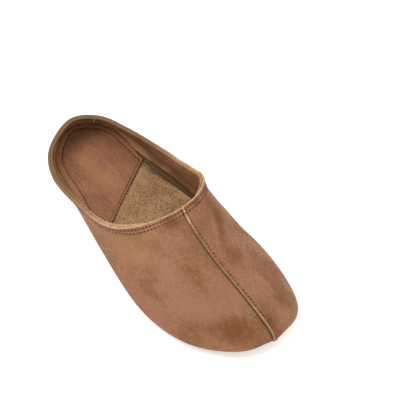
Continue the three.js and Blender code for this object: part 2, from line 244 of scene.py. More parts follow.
@dataclass(frozen=True)
class Last:
    """The form that the slipper is made on: millimetres, X from heel to toe, Y towards the medial side."""

    length: float = 248.0
    ball_width: float = 101.0
    instep_height: float = 55.5
    heel_height: float = 31.5
    toe_spring: float = 4.0
    spring_start: float = 0.78

    outsole: float = 4.0
    insole: float = 2.0
    heel_pad: float = 1.8
    wall: float = 2.0
    facing: float = 1.8
    gap: float = 0.3

    bulge: float = 7.8
    tuck_rise: float = 1.2
    side_share: float = 0.43
    crown_share: float = 0.38
    rim_pull: float = 0.35
    toe_handle: float = 5.0
    fan_place: float = 3 / 7
    fan_softening: float = 0.14
    fan_half: float = 0.4
    nose: float = 0.6
    nose_half: float = 8.0

    lap: float = 1.5
    lap_flat: float = 7.0
    lap_fade: float = 10.0
    lap_foot: float = 0.45

    folds: tuple[Spot, ...] = (
        Spot(118, 30, 16, 4.0, -72, -0.55),
        Spot(126, 33, 15, 3.0, -66, 0.35),
        Spot(135, 32, 15, 4.5, -60, -0.45),
        Spot(158, -28, 22, 6.0, 62, -0.5),
        Spot(170, -22, 20, 6.0, 70, 0.35),
        Spot(176, 22, 16, 6.0, -70, -0.35),
        Spot(206, -18, 22, 9.0, 30, -0.45),
        Spot(214, 26, 18, 8.0, -30, -0.3),
        Spot(171, 42, 14, 9.0, -14, -1.7),
    )

    def curve(self, rows: Sequence[Row], closed: bool, level: Callable[[Row], float]) -> Curve:
        """The curve through a table's rows, with its height from level."""
        points = [(row.along * self.length, row.across * self.ball_width, level(row)) for row in rows]
        return Curve(np.array(points), closed)

    @property
    def feather_curve(self) -> Curve:
        """Where upper and sole meet."""
        return self.curve(FEATHER_ROWS, True, lambda row: 0.0)

    @property
    def ridge_curve(self) -> Curve:
        """The top of the vamp, from the toe to the opening."""
        return self.curve(RIDGE_ROWS, False, lambda row: row.level * self.instep_height)

    @property
    def edge_curve(self) -> Curve:
        """The opening's edge, from its front round the medial side."""
        return self.curve(EDGE_ROWS, True, lambda row: lerp(self.heel_height, self.instep_height, row.level))

    def spring(self, x: np.ndarray) -> np.ndarray:
        """Height of the sole at x."""
        reach = np.maximum(0, x / self.length - self.spring_start) / (1 - self.spring_start)
        return self.toe_spring * reach * reach

    def feather(self, side: np.ndarray, place: np.ndarray) -> tuple[np.ndarray, np.ndarray]:
        """Points of the feather line and their outward directions.

        Args:
            side: -1 for the lateral side and 1 for the medial one.
            place: 0 at the toe and 1 at the heel.

        Returns:
            The points and the directions.
        """
        side, place = np.broadcast_arrays(np.asarray(side, float), np.asarray(place, float))
        share = np.where(side < 0, place / 2, (1 - place / 2) % 1)
        line = self.feather_curve
        points = line.at(share)
        tangents = line.tangent(share)
        outward = unit(np.stack([-tangents[..., 1], tangents[..., 0], np.zeros(share.shape)], -1))
        near = np.minimum(np.linalg.norm(points - line.at(0.0), axis=-1) / self.nose_half, 1)
        nose = self.nose * np.cos(near * math.pi / 2) ** 2
        return points + outward * nose[..., None], outward

    def feather_loop(self, count: int) -> tuple[np.ndarray, np.ndarray]:
        """The feather line once round from the toe, and its outward directions, with the toe at both ends."""
        share = np.linspace(0, 1, count)
        lateral, lateral_out = self.feather(-1, share)
        medial, medial_out = self.feather(1, share)
        return np.vstack([lateral, medial[::-1][1:]]), np.vstack([lateral_out, medial_out[::-1][1:]])

    def crown_lie(self, share: np.ndarray) -> tuple[np.ndarray, np.ndarray, np.ndarray]:
        """Lie of the crown at shares of the ridge: its direction to the toe, and its climbs along X and Y."""
        edge, ridge = self.edge_curve, self.ridge_curve
        sweep = edge.tangent(0.002) + edge.tangent(0.998)
        front = ridge.tangent(1.0)
        toward = -ridge.tangent(share)
        across = (sweep[2] - front[2] / front[0] * sweep[0]) / sweep[1] * np.asarray(share, float)
        along = (toward[..., 2] - across * toward[..., 1]) / toward[..., 0]
        return toward, along, across

    def column(self, u: np.ndarray) -> list[np.ndarray]:
        """The five control points of the wall's columns, from the feather line up.

        Args:
            u: -2 at the heel, along the lateral side to 0 at the toe, and along the medial side to 2.

        Returns:
            The arrays of foot, tuck, full, crown and top points.
        """
        side = np.where(u < 0, -1.0, 1.0)
        vamp = np.minimum(np.abs(u), 1)
        quarter = np.maximum(np.abs(u) - 1, 0)
        foot, outward = self.feather(side, lerp(vamp * self.fan_place, 1, quarter))
        foot[..., 2] = self.outsole + self.gap + self.spring(foot[..., 0])
        share = np.where(side > 0, quarter / 2, 1 - quarter / 2)
        top = np.where((quarter > 0)[..., None], self.edge_curve.at(share), self.ridge_curve.at(vamp))
        height = top[..., 2] - foot[..., 2]
        tuck = foot + outward * self.bulge + UP * self.tuck_rise
        full = foot + outward * self.bulge + UP * (self.side_share * height)[..., None]
        crowning = 1 - smoothstep(quarter, 0, 1 / 3)
        toward, along, across = self.crown_lie(vamp)
        reach = foot - top
        reach[..., 2] = along * reach[..., 0] + across * reach[..., 1]
        crown = top + reach * (self.crown_share * crowning)[..., None]
        crown = crown - UP * (self.rim_pull * height * (1 - crowning))[..., None]
        crown = crown + toward * (self.toe_handle * (1 - smoothstep(vamp, 0, 0.25)))[..., None]
        return [foot, tuck, full, crown, top]

    def plain_face(self, u: np.ndarray, v: np.ndarray) -> np.ndarray:
        """The outer face before the fan of columns is evened out."""
        w = 1 - v
        shares = (w**4, 4 * v * w**3, 6 * v**2 * w**2, 4 * v**3 * w, v**4)
        points = self.column((u + 2) % 4 - 2)
        return sum(point * share[..., None] for point, share in zip(points, shares))

    def face(self, u: np.ndarray, v: np.ndarray) -> np.ndarray:
        """The wall's outer face at (u, v), with v 0 at the sole and 1 at the top."""
        u, v = np.broadcast_arrays(np.asarray(u, float), np.asarray(v, float))
        from_fan = np.abs(np.abs((u + 2) % 4 - 2) - 1)
        reach = self.fan_softening * 4 * v * (1 - v) * (1 - smoothstep(from_fan, 0, self.fan_half))
        taps = (1, 2, 3, 2, 1)
        total = sum(taps)
        return sum(self.plain_face(u + (i - 2) * reach / 2, v) * tap / total for i, tap in enumerate(taps))

    def outward(self, u: np.ndarray, v: np.ndarray) -> np.ndarray:
        """Directions square to the outer face."""
        u, v = np.broadcast_arrays(np.asarray(u, float), np.asarray(v, float))
        step = 1e-3
        around = self.face(u + step, v) - self.face(u - step, v)
        upward = self.face(u, np.minimum(v + step, 1)) - self.face(u, np.maximum(v - step, 0))
        square = unit(np.cross(around, upward))
        _, along, across = self.crown_lie(np.minimum(np.abs(u), 1))
        ridge = unit(np.stack([-along, -across, np.ones(u.shape)], -1))
        on_ridge = (v >= 1 - 1e-9) & (np.abs(u) <= 1)
        return np.where(on_ridge[..., None], ridge, square)

    def climb(self, u: np.ndarray) -> np.ndarray:
        """The wall's upward directions at its top edge."""
        return unit(self.face(u, np.ones(len(u))) - self.face(u, np.full(len(u), 0.985)))

    def seam_line(self, steps: int = 40) -> np.ndarray:
        """The seam, along the ridge from the opening to the toe and down to the sole."""
        along = self.ridge_curve.at(np.linspace(1, 0, steps + 1))
        down = self.face(np.zeros(steps), np.linspace(1 - 1 / steps, 0, steps))
        return np.vstack([along, down])

    def edge_line(self, steps: int = 240) -> np.ndarray:
        """The opening's edge."""
        return self.edge_curve.at(np.linspace(0, 1, steps + 1))

    def waver(self, points: np.ndarray) -> np.ndarray:
        """The unevenness of a hand-cut edge along the slipper, from -1 to 1."""
        return (np.sin(points[..., 0] * 0.71) + np.sin(points[..., 0] * 0.29 + 1.3)) / 2

    def lap_at(self, v: np.ndarray, away: np.ndarray, points: np.ndarray) -> np.ndarray:
        """How far the lapping panel stands above the wall at these points, at distances from the seam."""
        fading = 1 - smoothstep(away, self.lap_flat, self.lap_flat + self.lap_fade)
        return self.lap * smoothstep(v, 0, self.lap_foot) * fading * (1 + 0.2 * self.waver(points))

    def worn(self, points: np.ndarray, v: np.ndarray) -> np.ndarray:
        """How far its folds lift the wall at these points."""
        return sum(fold.at(points) for fold in self.folds) * smoothstep(v, 0.04, 0.25)


class Side(Enum):
    """The slipper's halves."""

    LATERAL = -1
    MEDIAL = 1


class Skin:
    """Points, faces and values at the points, gathered for one mesh."""

    def __init__(self) -> None:
        """Starts with nothing."""
        self.points: list[np.ndarray] = []
        self.faces: list[tuple[int, ...]] = []
        self.values: dict[str, list[np.ndarray]] = {}
        self.count = 0

    def grid(self, points: np.ndarray, flip: bool = False, **values: np.ndarray) -> np.ndarray:
        """Adds a sheet of quads.

        Args:
            points: rows and columns of points.
            flip: whether the faces look the other way.
            values: for each name, a value at each point.

        Returns:
            The points' numbers, in rows and columns.
        """
        rows, columns = points.shape[:2]
        numbers = np.arange(rows * columns).reshape(rows, columns) + self.count
        self.count += rows * columns
        self.points.append(points.reshape(-1, 3))
        for name in dict.fromkeys([*self.values, *values]):
            made = self.values.setdefault(name, [np.zeros(int(numbers[0, 0]))])
            spread = np.broadcast_to(np.asarray(values.get(name, 0.0), float), (rows, columns))
            made.append(spread.reshape(-1))
        self.quads(numbers, flip)
        return numbers

    def quads(self, numbers: np.ndarray, flip: bool = False) -> None:
        """Adds the quads between rows and columns of numbered points."""
        around = [numbers[:-1, :-1], numbers[1:, :-1], numbers[1:, 1:], numbers[:-1, 1:]]
        corners = np.stack(around, axis=-1).reshape(-1, 4)
        if flip:
            corners = corners[:, ::-1]
        self.faces.extend(map(tuple, corners.tolist()))

    def mesh(self, name: str, shift: np.ndarray, tidy: bool = False) -> bpy.types.Mesh:
        """Makes the mesh.

        Args:
            name: the mesh's name.
            shift: from the last's frame to the slipper's, in millimetres.
            tidy: whether doubled points are merged and the faces turned outwards.

        Returns:
            The mesh, in metres.
        """
        mesh = bpy.data.meshes.new(name)
        points = (np.vstack(self.points) + shift) * MM
        mesh.from_pydata(points.tolist(), [], self.faces)
        for label, made in self.values.items():
            values = np.concatenate(made).astype(np.float32)
            mesh.attributes.new(label, "FLOAT", "POINT").data.foreach_set("value", values)
        if tidy:
            shape = bmesh.new()
            shape.from_mesh(mesh)
            bmesh.ops.remove_doubles(shape, verts=shape.verts, dist=1e-6)
            bmesh.ops.dissolve_degenerate(shape, edges=shape.edges, dist=1e-7)
            bmesh.ops.recalc_face_normals(shape, faces=shape.faces)
            shape.to_mesh(mesh)
            shape.free()
        mesh.polygons.foreach_set("use_smooth", [True] * len(mesh.polygons))
        mesh.update()
        return mesh


def place(name: str, mesh: bpy.types.Mesh, *materials: bpy.types.Material) -> bpy.types.Object:
    """Puts a mesh in the scene as an object of that name, with its materials."""
    thing = bpy.data.objects.new(name, mesh)
    bpy.context.scene.collection.objects.link(thing)
    for material in materials:
        thing.data.materials.append(material)
    return thing


def dress(piece: bpy.types.Object, slot: str, *nodes: str) -> None:
    """Makes a piece ride on the slipper's body and hides the named nodes that it stands in for."""
    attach(piece, BODY)
    if nodes:
        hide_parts(*nodes)
    log.info("%s: %d faces", piece.name, len(piece.data.polygons))


def tone(text: str) -> tuple[float, float, float, float]:
    """A colour as a screen shows it, such as A67A5C, in Blender's linear values."""
    parts = [int(text[start:start + 2], 16) / 255 for start in (0, 2, 4)]
    linear = [part / 12.92 if part <= 0.04045 else ((part + 0.055) / 1.055) ** 2.4 for part in parts]
    return (*linear, 1.0)


def scale_of(size: float) -> float:
    """The scale of a texture whose spots are about size millimetres across."""
    return 1 / (size * MM)


Feed = bpy.types.NodeSocket | float | tuple


class Sheet:
    """A node tree, with a short call for each kind of node that the finishes use."""

    def __init__(self, tree: bpy.types.NodeTree) -> None:
        """Works on a tree."""
        self.tree = tree

    def feed(self, socket: bpy.types.NodeSocket, value: Feed) -> None:
        """Links a socket, or sets its value."""
        if isinstance(value, bpy.types.NodeSocket):
            self.tree.links.new(value, socket)
        else:
            socket.default_value = value

    def node(self, kind: str, settings: dict[str, object] | None = None, **inputs: Feed) -> bpy.types.Node:
        """Adds a node.

        Args:
            kind: the node's type.
            settings: its properties.
            inputs: values or sockets by the input's name, with _ for a space.

        Returns:
            The node.
        """
        made = self.tree.nodes.new(kind)
        for name, value in (settings or {}).items():
            setattr(made, name, value)
        for name, value in inputs.items():
            self.feed(made.inputs[name.replace("_", " ")], value)
        return made

    def maths(self, operation: str, *values: Feed) -> bpy.types.NodeSocket:
        """A sum, product or other calculation."""
        made = self.node("ShaderNodeMath", {"operation": operation})
        for socket, value in zip(made.inputs, values):
            self.feed(socket, value)
        return made.outputs[0]

    def attribute(self, name: str) -> bpy.types.NodeSocket:
        """A value that the mesh holds at its points."""
        return self.node("ShaderNodeAttribute", {"attribute_name": name}).outputs["Fac"]

    def noise(self, vector: Feed, scale: Feed, detail: float, rough: float, bend: float,
              seed: float) -> bpy.types.NodeSocket:
        """Cloudy noise.

        Args:
            vector: where it is taken.
            scale: its scale, from scale_of or scale_from.
            detail: how many finer layers it has.
            rough: how strong they are.
            bend: how far it is distorted.
            seed: which of its pictures is shown.

        Returns:
            The noise, from 0 to 1.
        """
        made = self.node("ShaderNodeTexNoise", {"noise_dimensions": "4D"}, Vector=vector, W=seed, Scale=scale,
                         Detail=detail, Roughness=rough, Distortion=bend)
        return made.outputs[0]

    def scale_from(self, size: bpy.types.NodeSocket) -> bpy.types.NodeSocket:
        """A texture's scale, from a socket that gives a size in millimetres."""
        return self.maths("DIVIDE", 1 / MM, size)

    def between(self, value: Feed, low: float, high: float) -> bpy.types.NodeSocket:
        """Rises smoothly from 0 at low to 1 at high, or falls where high is the lower."""
        first, last = (0.0, 1.0) if low <= high else (1.0, 0.0)
        made = self.node("ShaderNodeMapRange", {"interpolation_type": "SMOOTHSTEP"}, Value=value,
                         From_Min=min(low, high), From_Max=max(low, high), To_Min=first, To_Max=last)
        return made.outputs[0]

    def mix(self, share: Feed, first: Feed, second: Feed) -> bpy.types.NodeSocket:
        """A mix of two colours."""
        made = self.node("ShaderNodeMix", {"data_type": "RGBA"})
        for index, value in ((0, share), (6, first), (7, second)):
            self.feed(made.inputs[index], value)
        return made.outputs[2]

    def lay(self, colour: Feed, shade: str, share: Feed, strength: Feed = 1.0) -> bpy.types.NodeSocket:
        """A colour with a shade laid over it.

        Args:
            colour: what lies below.
            shade: the upper colour, as tone reads it.
            share: where it lies, from 0 to 1.
            strength: its share where it lies fully.

        Returns:
            The mixed colour.
        """
        if strength != 1.0:
            share = self.maths("MULTIPLY", share, strength)
        return self.mix(share, colour, tone(shade))

    def bump(self, height: Feed, depth: float, below: Feed | None = None) -> bpy.types.NodeSocket:
        """A normal from a height whose full range is depth millimetres."""
        made = self.node("ShaderNodeBump", None, Height=height, Distance=depth * MM, Strength=1.0)
        if below is not None:
            self.feed(made.inputs["Normal"], below)
        return made.outputs[0]

    def place(self) -> bpy.types.NodeSocket:
        """Object coordinates."""
        return self.node("ShaderNodeTexCoord").outputs["Object"]


class Effect:
    """A shader effect that several finishes share, kept as a node group with named ends."""

    def __init__(self, name: str, inputs: dict[str, float | None], outputs: Sequence[str]) -> None:
        """Makes the group's ends.

        Args:
            name: the group's name.
            inputs: each input's name and value, with None for a vector.
            outputs: the outputs' names.
        """
        self.tree = bpy.data.node_groups.new(name, "ShaderNodeTree")
        for label, value in inputs.items():
            kind = "NodeSocketVector" if value is None else "NodeSocketFloat"
            socket = self.tree.interface.new_socket(label, in_out="INPUT", socket_type=kind)
            if value is not None:
                socket.default_value = value
        for label in outputs:
            self.tree.interface.new_socket(label, in_out="OUTPUT", socket_type="NodeSocketFloat")
        self.sheet = Sheet(self.tree)
        self.given = self.tree.nodes.new("NodeGroupInput").outputs
        self.made = self.tree.nodes.new("NodeGroupOutput").inputs

    def use(self, sheet: Sheet, **inputs: Feed) -> dict[str, bpy.types.NodeSocket]:
        """Places the group in a material and returns its outputs by name."""
        node = sheet.node("ShaderNodeGroup", {"node_tree": self.tree}, **inputs)
        return {socket.name: socket for socket in node.outputs}


class Effects:
    """The effects that the leathers and suedes share."""

    def __init__(self) -> None:
        """Builds the groups."""
        self.mottle = self._mottle()
        self.grain = self._grain()
        self.nap = self._nap()
        self.furrow = self._furrow()

    def dip(self, sheet: Sheet, label: str, place: float, half: float) -> bpy.types.NodeSocket:
        """How deep a furrow is, from 0 to 1, that lies at a place among the distances kept under label."""
        return self.furrow.use(sheet, Distance=sheet.attribute(label), Place=place, Half=half)["Dip"]

    def _mottle(self) -> Effect:
        """Cloudy changes of shade, drawn out along the foot, in wide, middling and small spots."""
        effect = Effect("hide_mottle", {"Vector": None, "Size": 40.0}, ("Wide", "Middling", "Small", "Fine"))
        sheet, given = effect.sheet, effect.given
        drawn = sheet.node("ShaderNodeVectorMath", {"operation": "MULTIPLY"})
        sheet.feed(drawn.inputs[0], given["Vector"])
        sheet.feed(drawn.inputs[1], (0.5, 1.0, 1.0))
        for label, share, detail, bend, seed in (
            ("Wide", 1.0, 1.0, 0.1, 1.3), ("Middling", 0.36, 2.0, 0.15, 4.1),
            ("Small", 0.09, 3.0, 0.2, 7.7), ("Fine", 0.022, 2.0, 0.3, 9.4),
        ):
            scale = sheet.scale_from(sheet.maths("MULTIPLY", given["Size"], share))
            cloud = sheet.noise(drawn.outputs[0], scale, detail, 0.5, bend, seed)
            sheet.feed(effect.made[label], sheet.between(cloud, 0.3, 0.7))
        return effect

    def _grain(self) -> Effect:
        """A smooth hide's pores and fine wrinkles."""
        effect = Effect("hide_grain", {"Vector": None, "Pore": 0.9}, ("Height", "Pits"))
        sheet, given = effect.sheet, effect.given
        place, scale = given["Vector"], sheet.scale_from(given["Pore"])
        cells = sheet.node("ShaderNodeTexVoronoi", {"feature": "SMOOTH_F1"}, Vector=place, Scale=scale)
        pits = sheet.between(cells.outputs["Distance"], 0.15, 0.6)
        fine = sheet.noise(place, scale, 3.0, 0.6, 0.5, 2.2)
        wrinkle_scale = sheet.scale_from(sheet.maths("MULTIPLY", given["Pore"], 5.0))
        wrinkles = sheet.noise(place, wrinkle_scale, 4.0, 0.6, 1.4, 5.9)
        height = sheet.maths("MULTIPLY_ADD", fine, 0.45, sheet.maths("MULTIPLY", pits, 0.25))
        height = sheet.maths("MULTIPLY_ADD", wrinkles, 0.6, height)
        sheet.feed(effect.made["Height"], height)
        sheet.feed(effect.made["Pits"], pits)
        return effect

    def _nap(self) -> Effect:
        """The tufts of suede, brushed this way and that."""
        effect = Effect("suede_nap", {"Vector": None, "Tuft": 1.4}, ("Height", "Shade", "Brushed"))
        sheet, given = effect.sheet, effect.given
        place, scale = given["Vector"], sheet.scale_from(given["Tuft"])
        tufts = sheet.noise(place, scale, 3.0, 0.65, 1.8, 0.4)
        fibres = sheet.noise(place, sheet.maths("MULTIPLY", scale, 3.2), 2.0, 0.6, 2.5, 3.3)
        brushed = sheet.noise(place, sheet.maths("MULTIPLY", scale, 0.07), 3.0, 0.6, 0.8, 8.1)
        shade = sheet.maths("MULTIPLY_ADD", tufts, 0.62, sheet.maths("MULTIPLY", fibres, 0.38))
        sheet.feed(effect.made["Height"], shade)
        sheet.feed(effect.made["Shade"], sheet.between(shade, 0.36, 0.64))
        sheet.feed(effect.made["Brushed"], sheet.between(brushed, 0.34, 0.66))
        return effect

    def _furrow(self) -> Effect:
        """The dip that a row of stitches or a pressed line draws in, at a distance from an edge."""
        effect = Effect("furrow", {"Distance": 0.0, "Place": 3.0, "Half": 0.6}, ("Dip",))
        sheet, given = effect.sheet, effect.given
        off = sheet.maths("ABSOLUTE", sheet.maths("SUBTRACT", given["Distance"], given["Place"]))
        share = sheet.maths("DIVIDE", off, given["Half"])
        sheet.feed(effect.made["Dip"], sheet.between(share, 1.0, 0.0))
        return effect


def material_of(name: str, rough: float, gloss: float = 0.2,
                sheen: float = 0.0) -> tuple[bpy.types.Material, Sheet, bpy.types.Node]:
    """A new material, its sheet and its shader.

    Args:
        name: the material's name.
        rough: the shader's roughness where nothing feeds it.
        gloss: level of the surface's own shine.
        sheen: weight of a cloth's sheen.

    Returns:
        The material, the sheet and the shader's node.
    """
    material = bpy.data.materials.new(name)
    material.use_nodes = True
    shader = material.node_tree.nodes["Principled BSDF"]
    shader.inputs["Roughness"].default_value = rough
    shader.inputs["Sheen Weight"].default_value = sheen
    shader.inputs["Sheen Roughness"].default_value = 0.5
    shader.inputs["Specular IOR Level"].default_value = gloss
    return material, Sheet(material.node_tree), shader


@dataclass(frozen=True)
class RawEdge:
    """The fibrous cut edge of a hide."""

    light: str = "C6A07A"
    dark: str = "9C785A"
    aged: str = "705438"

    def over(self, sheet: Sheet, place: Feed, colour: Feed) -> bpy.types.NodeSocket:
        """The colour with the raw edge laid over it, where the mesh says that the hide is cut."""
        fibre = sheet.noise(place, scale_of(0.7), 3.0, 0.6, 0.6, 2.6)
        broken = sheet.noise(place, scale_of(3.0), 3.0, 0.6, 0.0, 6.2)
        edge = sheet.lay(tone(self.dark), self.light, sheet.between(fibre, 0.36, 0.6))
        edge = sheet.mix(sheet.between(broken, 0.68, 0.4), tone(self.dark), edge)
        edge = sheet.lay(edge, self.aged, sheet.attribute("aged"), 0.9)
        ragged = sheet.maths("MULTIPLY_ADD", broken, 0.2, sheet.attribute("cut"))
        ragged = sheet.maths("MULTIPLY_ADD", fibre, 0.3, ragged)
        return sheet.mix(sheet.between(ragged, 0.5, 0.72), colour, edge)


@dataclass(frozen=True)
class Furrow:
    """A dip along a line: the distance that it is counted in, its place, half its width and its darkness."""

    label: str
    at: float
    half: float = 0.9
    shade: float = 0.2
    colour: str | None = None


@dataclass(frozen=True)
class Hide:
    """A smooth oiled hide, whose shade changes in clouds, stains and rubbed places, with shade painted at its
    inner face's foot and light painted along a plate's border.
    """

    name: str
    mid: str
    light: str
    dark: str
    stain_and_shade: str
    flesh: str
    blush: str
    rough: float = 0.62
    cloud_size: float = 40.0
    pore_size: float = 0.9
    grain_depth: float = 0.12
    # The colour of the shade painted along the inner face's foot.
    foot_shade: str = "563E20"
    furrows: tuple[Furrow, ...] = ()
    inner_lines: tuple[float, ...] = ()
    pale_border: float = 0.0
    raw: RawEdge = RawEdge()

    def material(self, effects: Effects) -> bpy.types.Material:
        """Builds the material."""
        material, sheet, shader = material_of(self.name, self.rough)
        place = sheet.place()
        mottle = effects.mottle.use(sheet, Vector=place, Size=self.cloud_size)
        grain = effects.grain.use(sheet, Vector=place, Pore=self.pore_size)
        colour = self._outer(sheet, mottle, grain)
        normal = sheet.bump(grain["Height"], self.grain_depth)
        for furrow in self.furrows:
            dip = effects.dip(sheet, furrow.label, furrow.at, furrow.half)
            colour = sheet.lay(colour, furrow.colour or self.stain_and_shade, dip, furrow.shade)
            normal = sheet.bump(sheet.maths("SUBTRACT", 1.0, dip), 0.25, normal)
        inner = self._inner(sheet, effects, mottle)
        colour = self.raw.over(sheet, place, sheet.mix(sheet.attribute("inside"), colour, inner))
        rough = sheet.maths("MULTIPLY_ADD", mottle["Middling"], 0.14, self.rough - 0.07)
        sheet.feed(shader.inputs["Base Color"], colour)
        sheet.feed(shader.inputs["Roughness"], rough)
        sheet.feed(shader.inputs["Normal"], normal)
        return material

    def _outer(self, sheet: Sheet, mottle: dict[str, bpy.types.NodeSocket],
               grain: dict[str, bpy.types.NodeSocket]) -> bpy.types.NodeSocket:
        """The outer face's colour, before its furrows."""
        colour = sheet.lay(tone(self.mid), self.blush, mottle["Wide"])
        colour = sheet.lay(colour, self.dark, sheet.between(mottle["Middling"], 0.3, 1.0), 0.5)
        colour = sheet.lay(colour, self.dark, sheet.between(mottle["Small"], 0.4, 1.0), 0.25)
        for low, high, shade in ((0.45, 1.0, self.dark), (0.55, 0.0, self.light)):
            colour = sheet.lay(colour, shade, sheet.between(mottle["Fine"], low, high), 0.45)
        uneven = sheet.maths("MULTIPLY_ADD", mottle["Middling"], 0.4, 0.7)
        for label, shade in (("blush", self.blush), ("faded", self.light)):
            colour = sheet.lay(colour, shade, sheet.attribute(label), uneven)
        cloudy = sheet.maths("MULTIPLY_ADD", mottle["Small"], 0.25, sheet.attribute("stain_and_shade"))
        cloudy = sheet.maths("MULTIPLY_ADD", mottle["Middling"], 0.22, cloudy)
        colour = sheet.lay(colour, self.stain_and_shade, sheet.between(cloudy, 0.27, 1.25), 0.8)
        colour = sheet.lay(colour, self.dark, grain["Pits"], 0.12)
        # Painted light: the strip along the plate's edge, out to its stitched row, is lightened as if its
        # raised border caught the light.
        if self.pale_border:
            lit_border = sheet.between(sheet.attribute("border"), 3.2, 2.3)
            colour = sheet.lay(colour, self.light, lit_border, self.pale_border)
        return colour

    def _inner(self, sheet: Sheet, effects: Effects,
               mottle: dict[str, bpy.types.NodeSocket]) -> bpy.types.NodeSocket:
        """The inner face's colour, with its pressed lines and the shade painted at its foot."""
        colour = sheet.lay(tone(self.flesh), self.dark, sheet.between(mottle["Middling"], 0.3, 1.0), 0.6)
        for at in self.inner_lines:
            colour = sheet.lay(colour, self.dark, effects.dip(sheet, "rim", at, LINE_HALF), 0.7)
        # Painted shade: the foot of the medial inner wall, by the insole, is darkened with a ragged upper
        # edge.
        ragged_shade = sheet.maths("MULTIPLY_ADD", mottle["Fine"], 0.4, sheet.attribute("foot_shade"))
        return sheet.lay(colour, self.foot_shade, sheet.between(ragged_shade, 0.5, 0.95))


@dataclass(frozen=True)
class Suede:
    """A split hide with its nap out."""

    name: str
    mid: str
    light: str
    dark: str
    stain_and_shade: str = "2E2013"
    cloud_size: float = 38.0
    tuft_size: float = 1.3
    nap_depth: float = 0.45
    edge_wear: float = 0.5
    contrast: float = 0.8
    sheen: float = 0.15
    soil: float = 0.0
    lines: tuple[float, ...] = ()
    raw: RawEdge = RawEdge()

    def material(self, effects: Effects) -> bpy.types.Material:
        """Builds the material."""
        material, sheet, shader = material_of(self.name, 0.95, 0.1, self.sheen)
        place = sheet.place()
        nap = effects.nap.use(sheet, Vector=place, Tuft=self.tuft_size)
        mottle = effects.mottle.use(sheet, Vector=place, Size=self.cloud_size)
        colour = sheet.lay(tone(self.mid), self.light, nap["Brushed"])
        colour = sheet.lay(colour, self.dark, mottle["Wide"], 0.35)
        for low, high, shade in ((0.55, 0.0, self.dark), (0.6, 1.0, self.light)):
            colour = sheet.lay(colour, shade, sheet.between(nap["Shade"], low, high), self.contrast)
        # Stains and painted shade: among the suedes only the insole sets these values, as the band of shade
        # along its medial edge.
        colour = sheet.lay(colour, self.stain_and_shade, sheet.attribute("stain_and_shade"))
        if self.soil:
            colour = sheet.lay(colour, self.stain_and_shade, sheet.attribute("aged"), self.soil)
        rubbed = sheet.between(sheet.attribute("border"), 4.0, 0.0)
        colour = sheet.lay(colour, self.light, rubbed, self.edge_wear)
        normal = sheet.bump(nap["Height"], self.nap_depth)
        for at in self.lines:
            dip = effects.dip(sheet, "rim", at, LINE_HALF)
            colour = sheet.lay(colour, self.stain_and_shade, dip, 0.75)
            normal = sheet.bump(sheet.maths("SUBTRACT", 1.0, dip), 0.4, normal)
        colour = self.raw.over(sheet, place, colour)
        sheet.feed(shader.inputs["Base Color"], colour)
        sheet.feed(shader.inputs["Normal"], normal)
        return material


@dataclass(frozen=True)
class Thread:
    """Waxed sewing thread, or the dark shade painted for the holes that it runs through."""

    name: str
    colour: str
    worn: str
    rough: float = 0.7

    def material(self) -> bpy.types.Material:
        """Builds the material."""
        material, sheet, shader = material_of(self.name, self.rough)
        place = sheet.place()
        twist = sheet.noise(place, scale_of(0.5), 2.0, 0.5, 0.4, 1.1)
        colour = sheet.lay(tone(self.colour), self.worn, sheet.between(twist, 0.35, 0.65))
        sheet.feed(shader.inputs["Base Color"], colour)
        sheet.feed(shader.inputs["Normal"], sheet.bump(twist, 0.08))
        return material


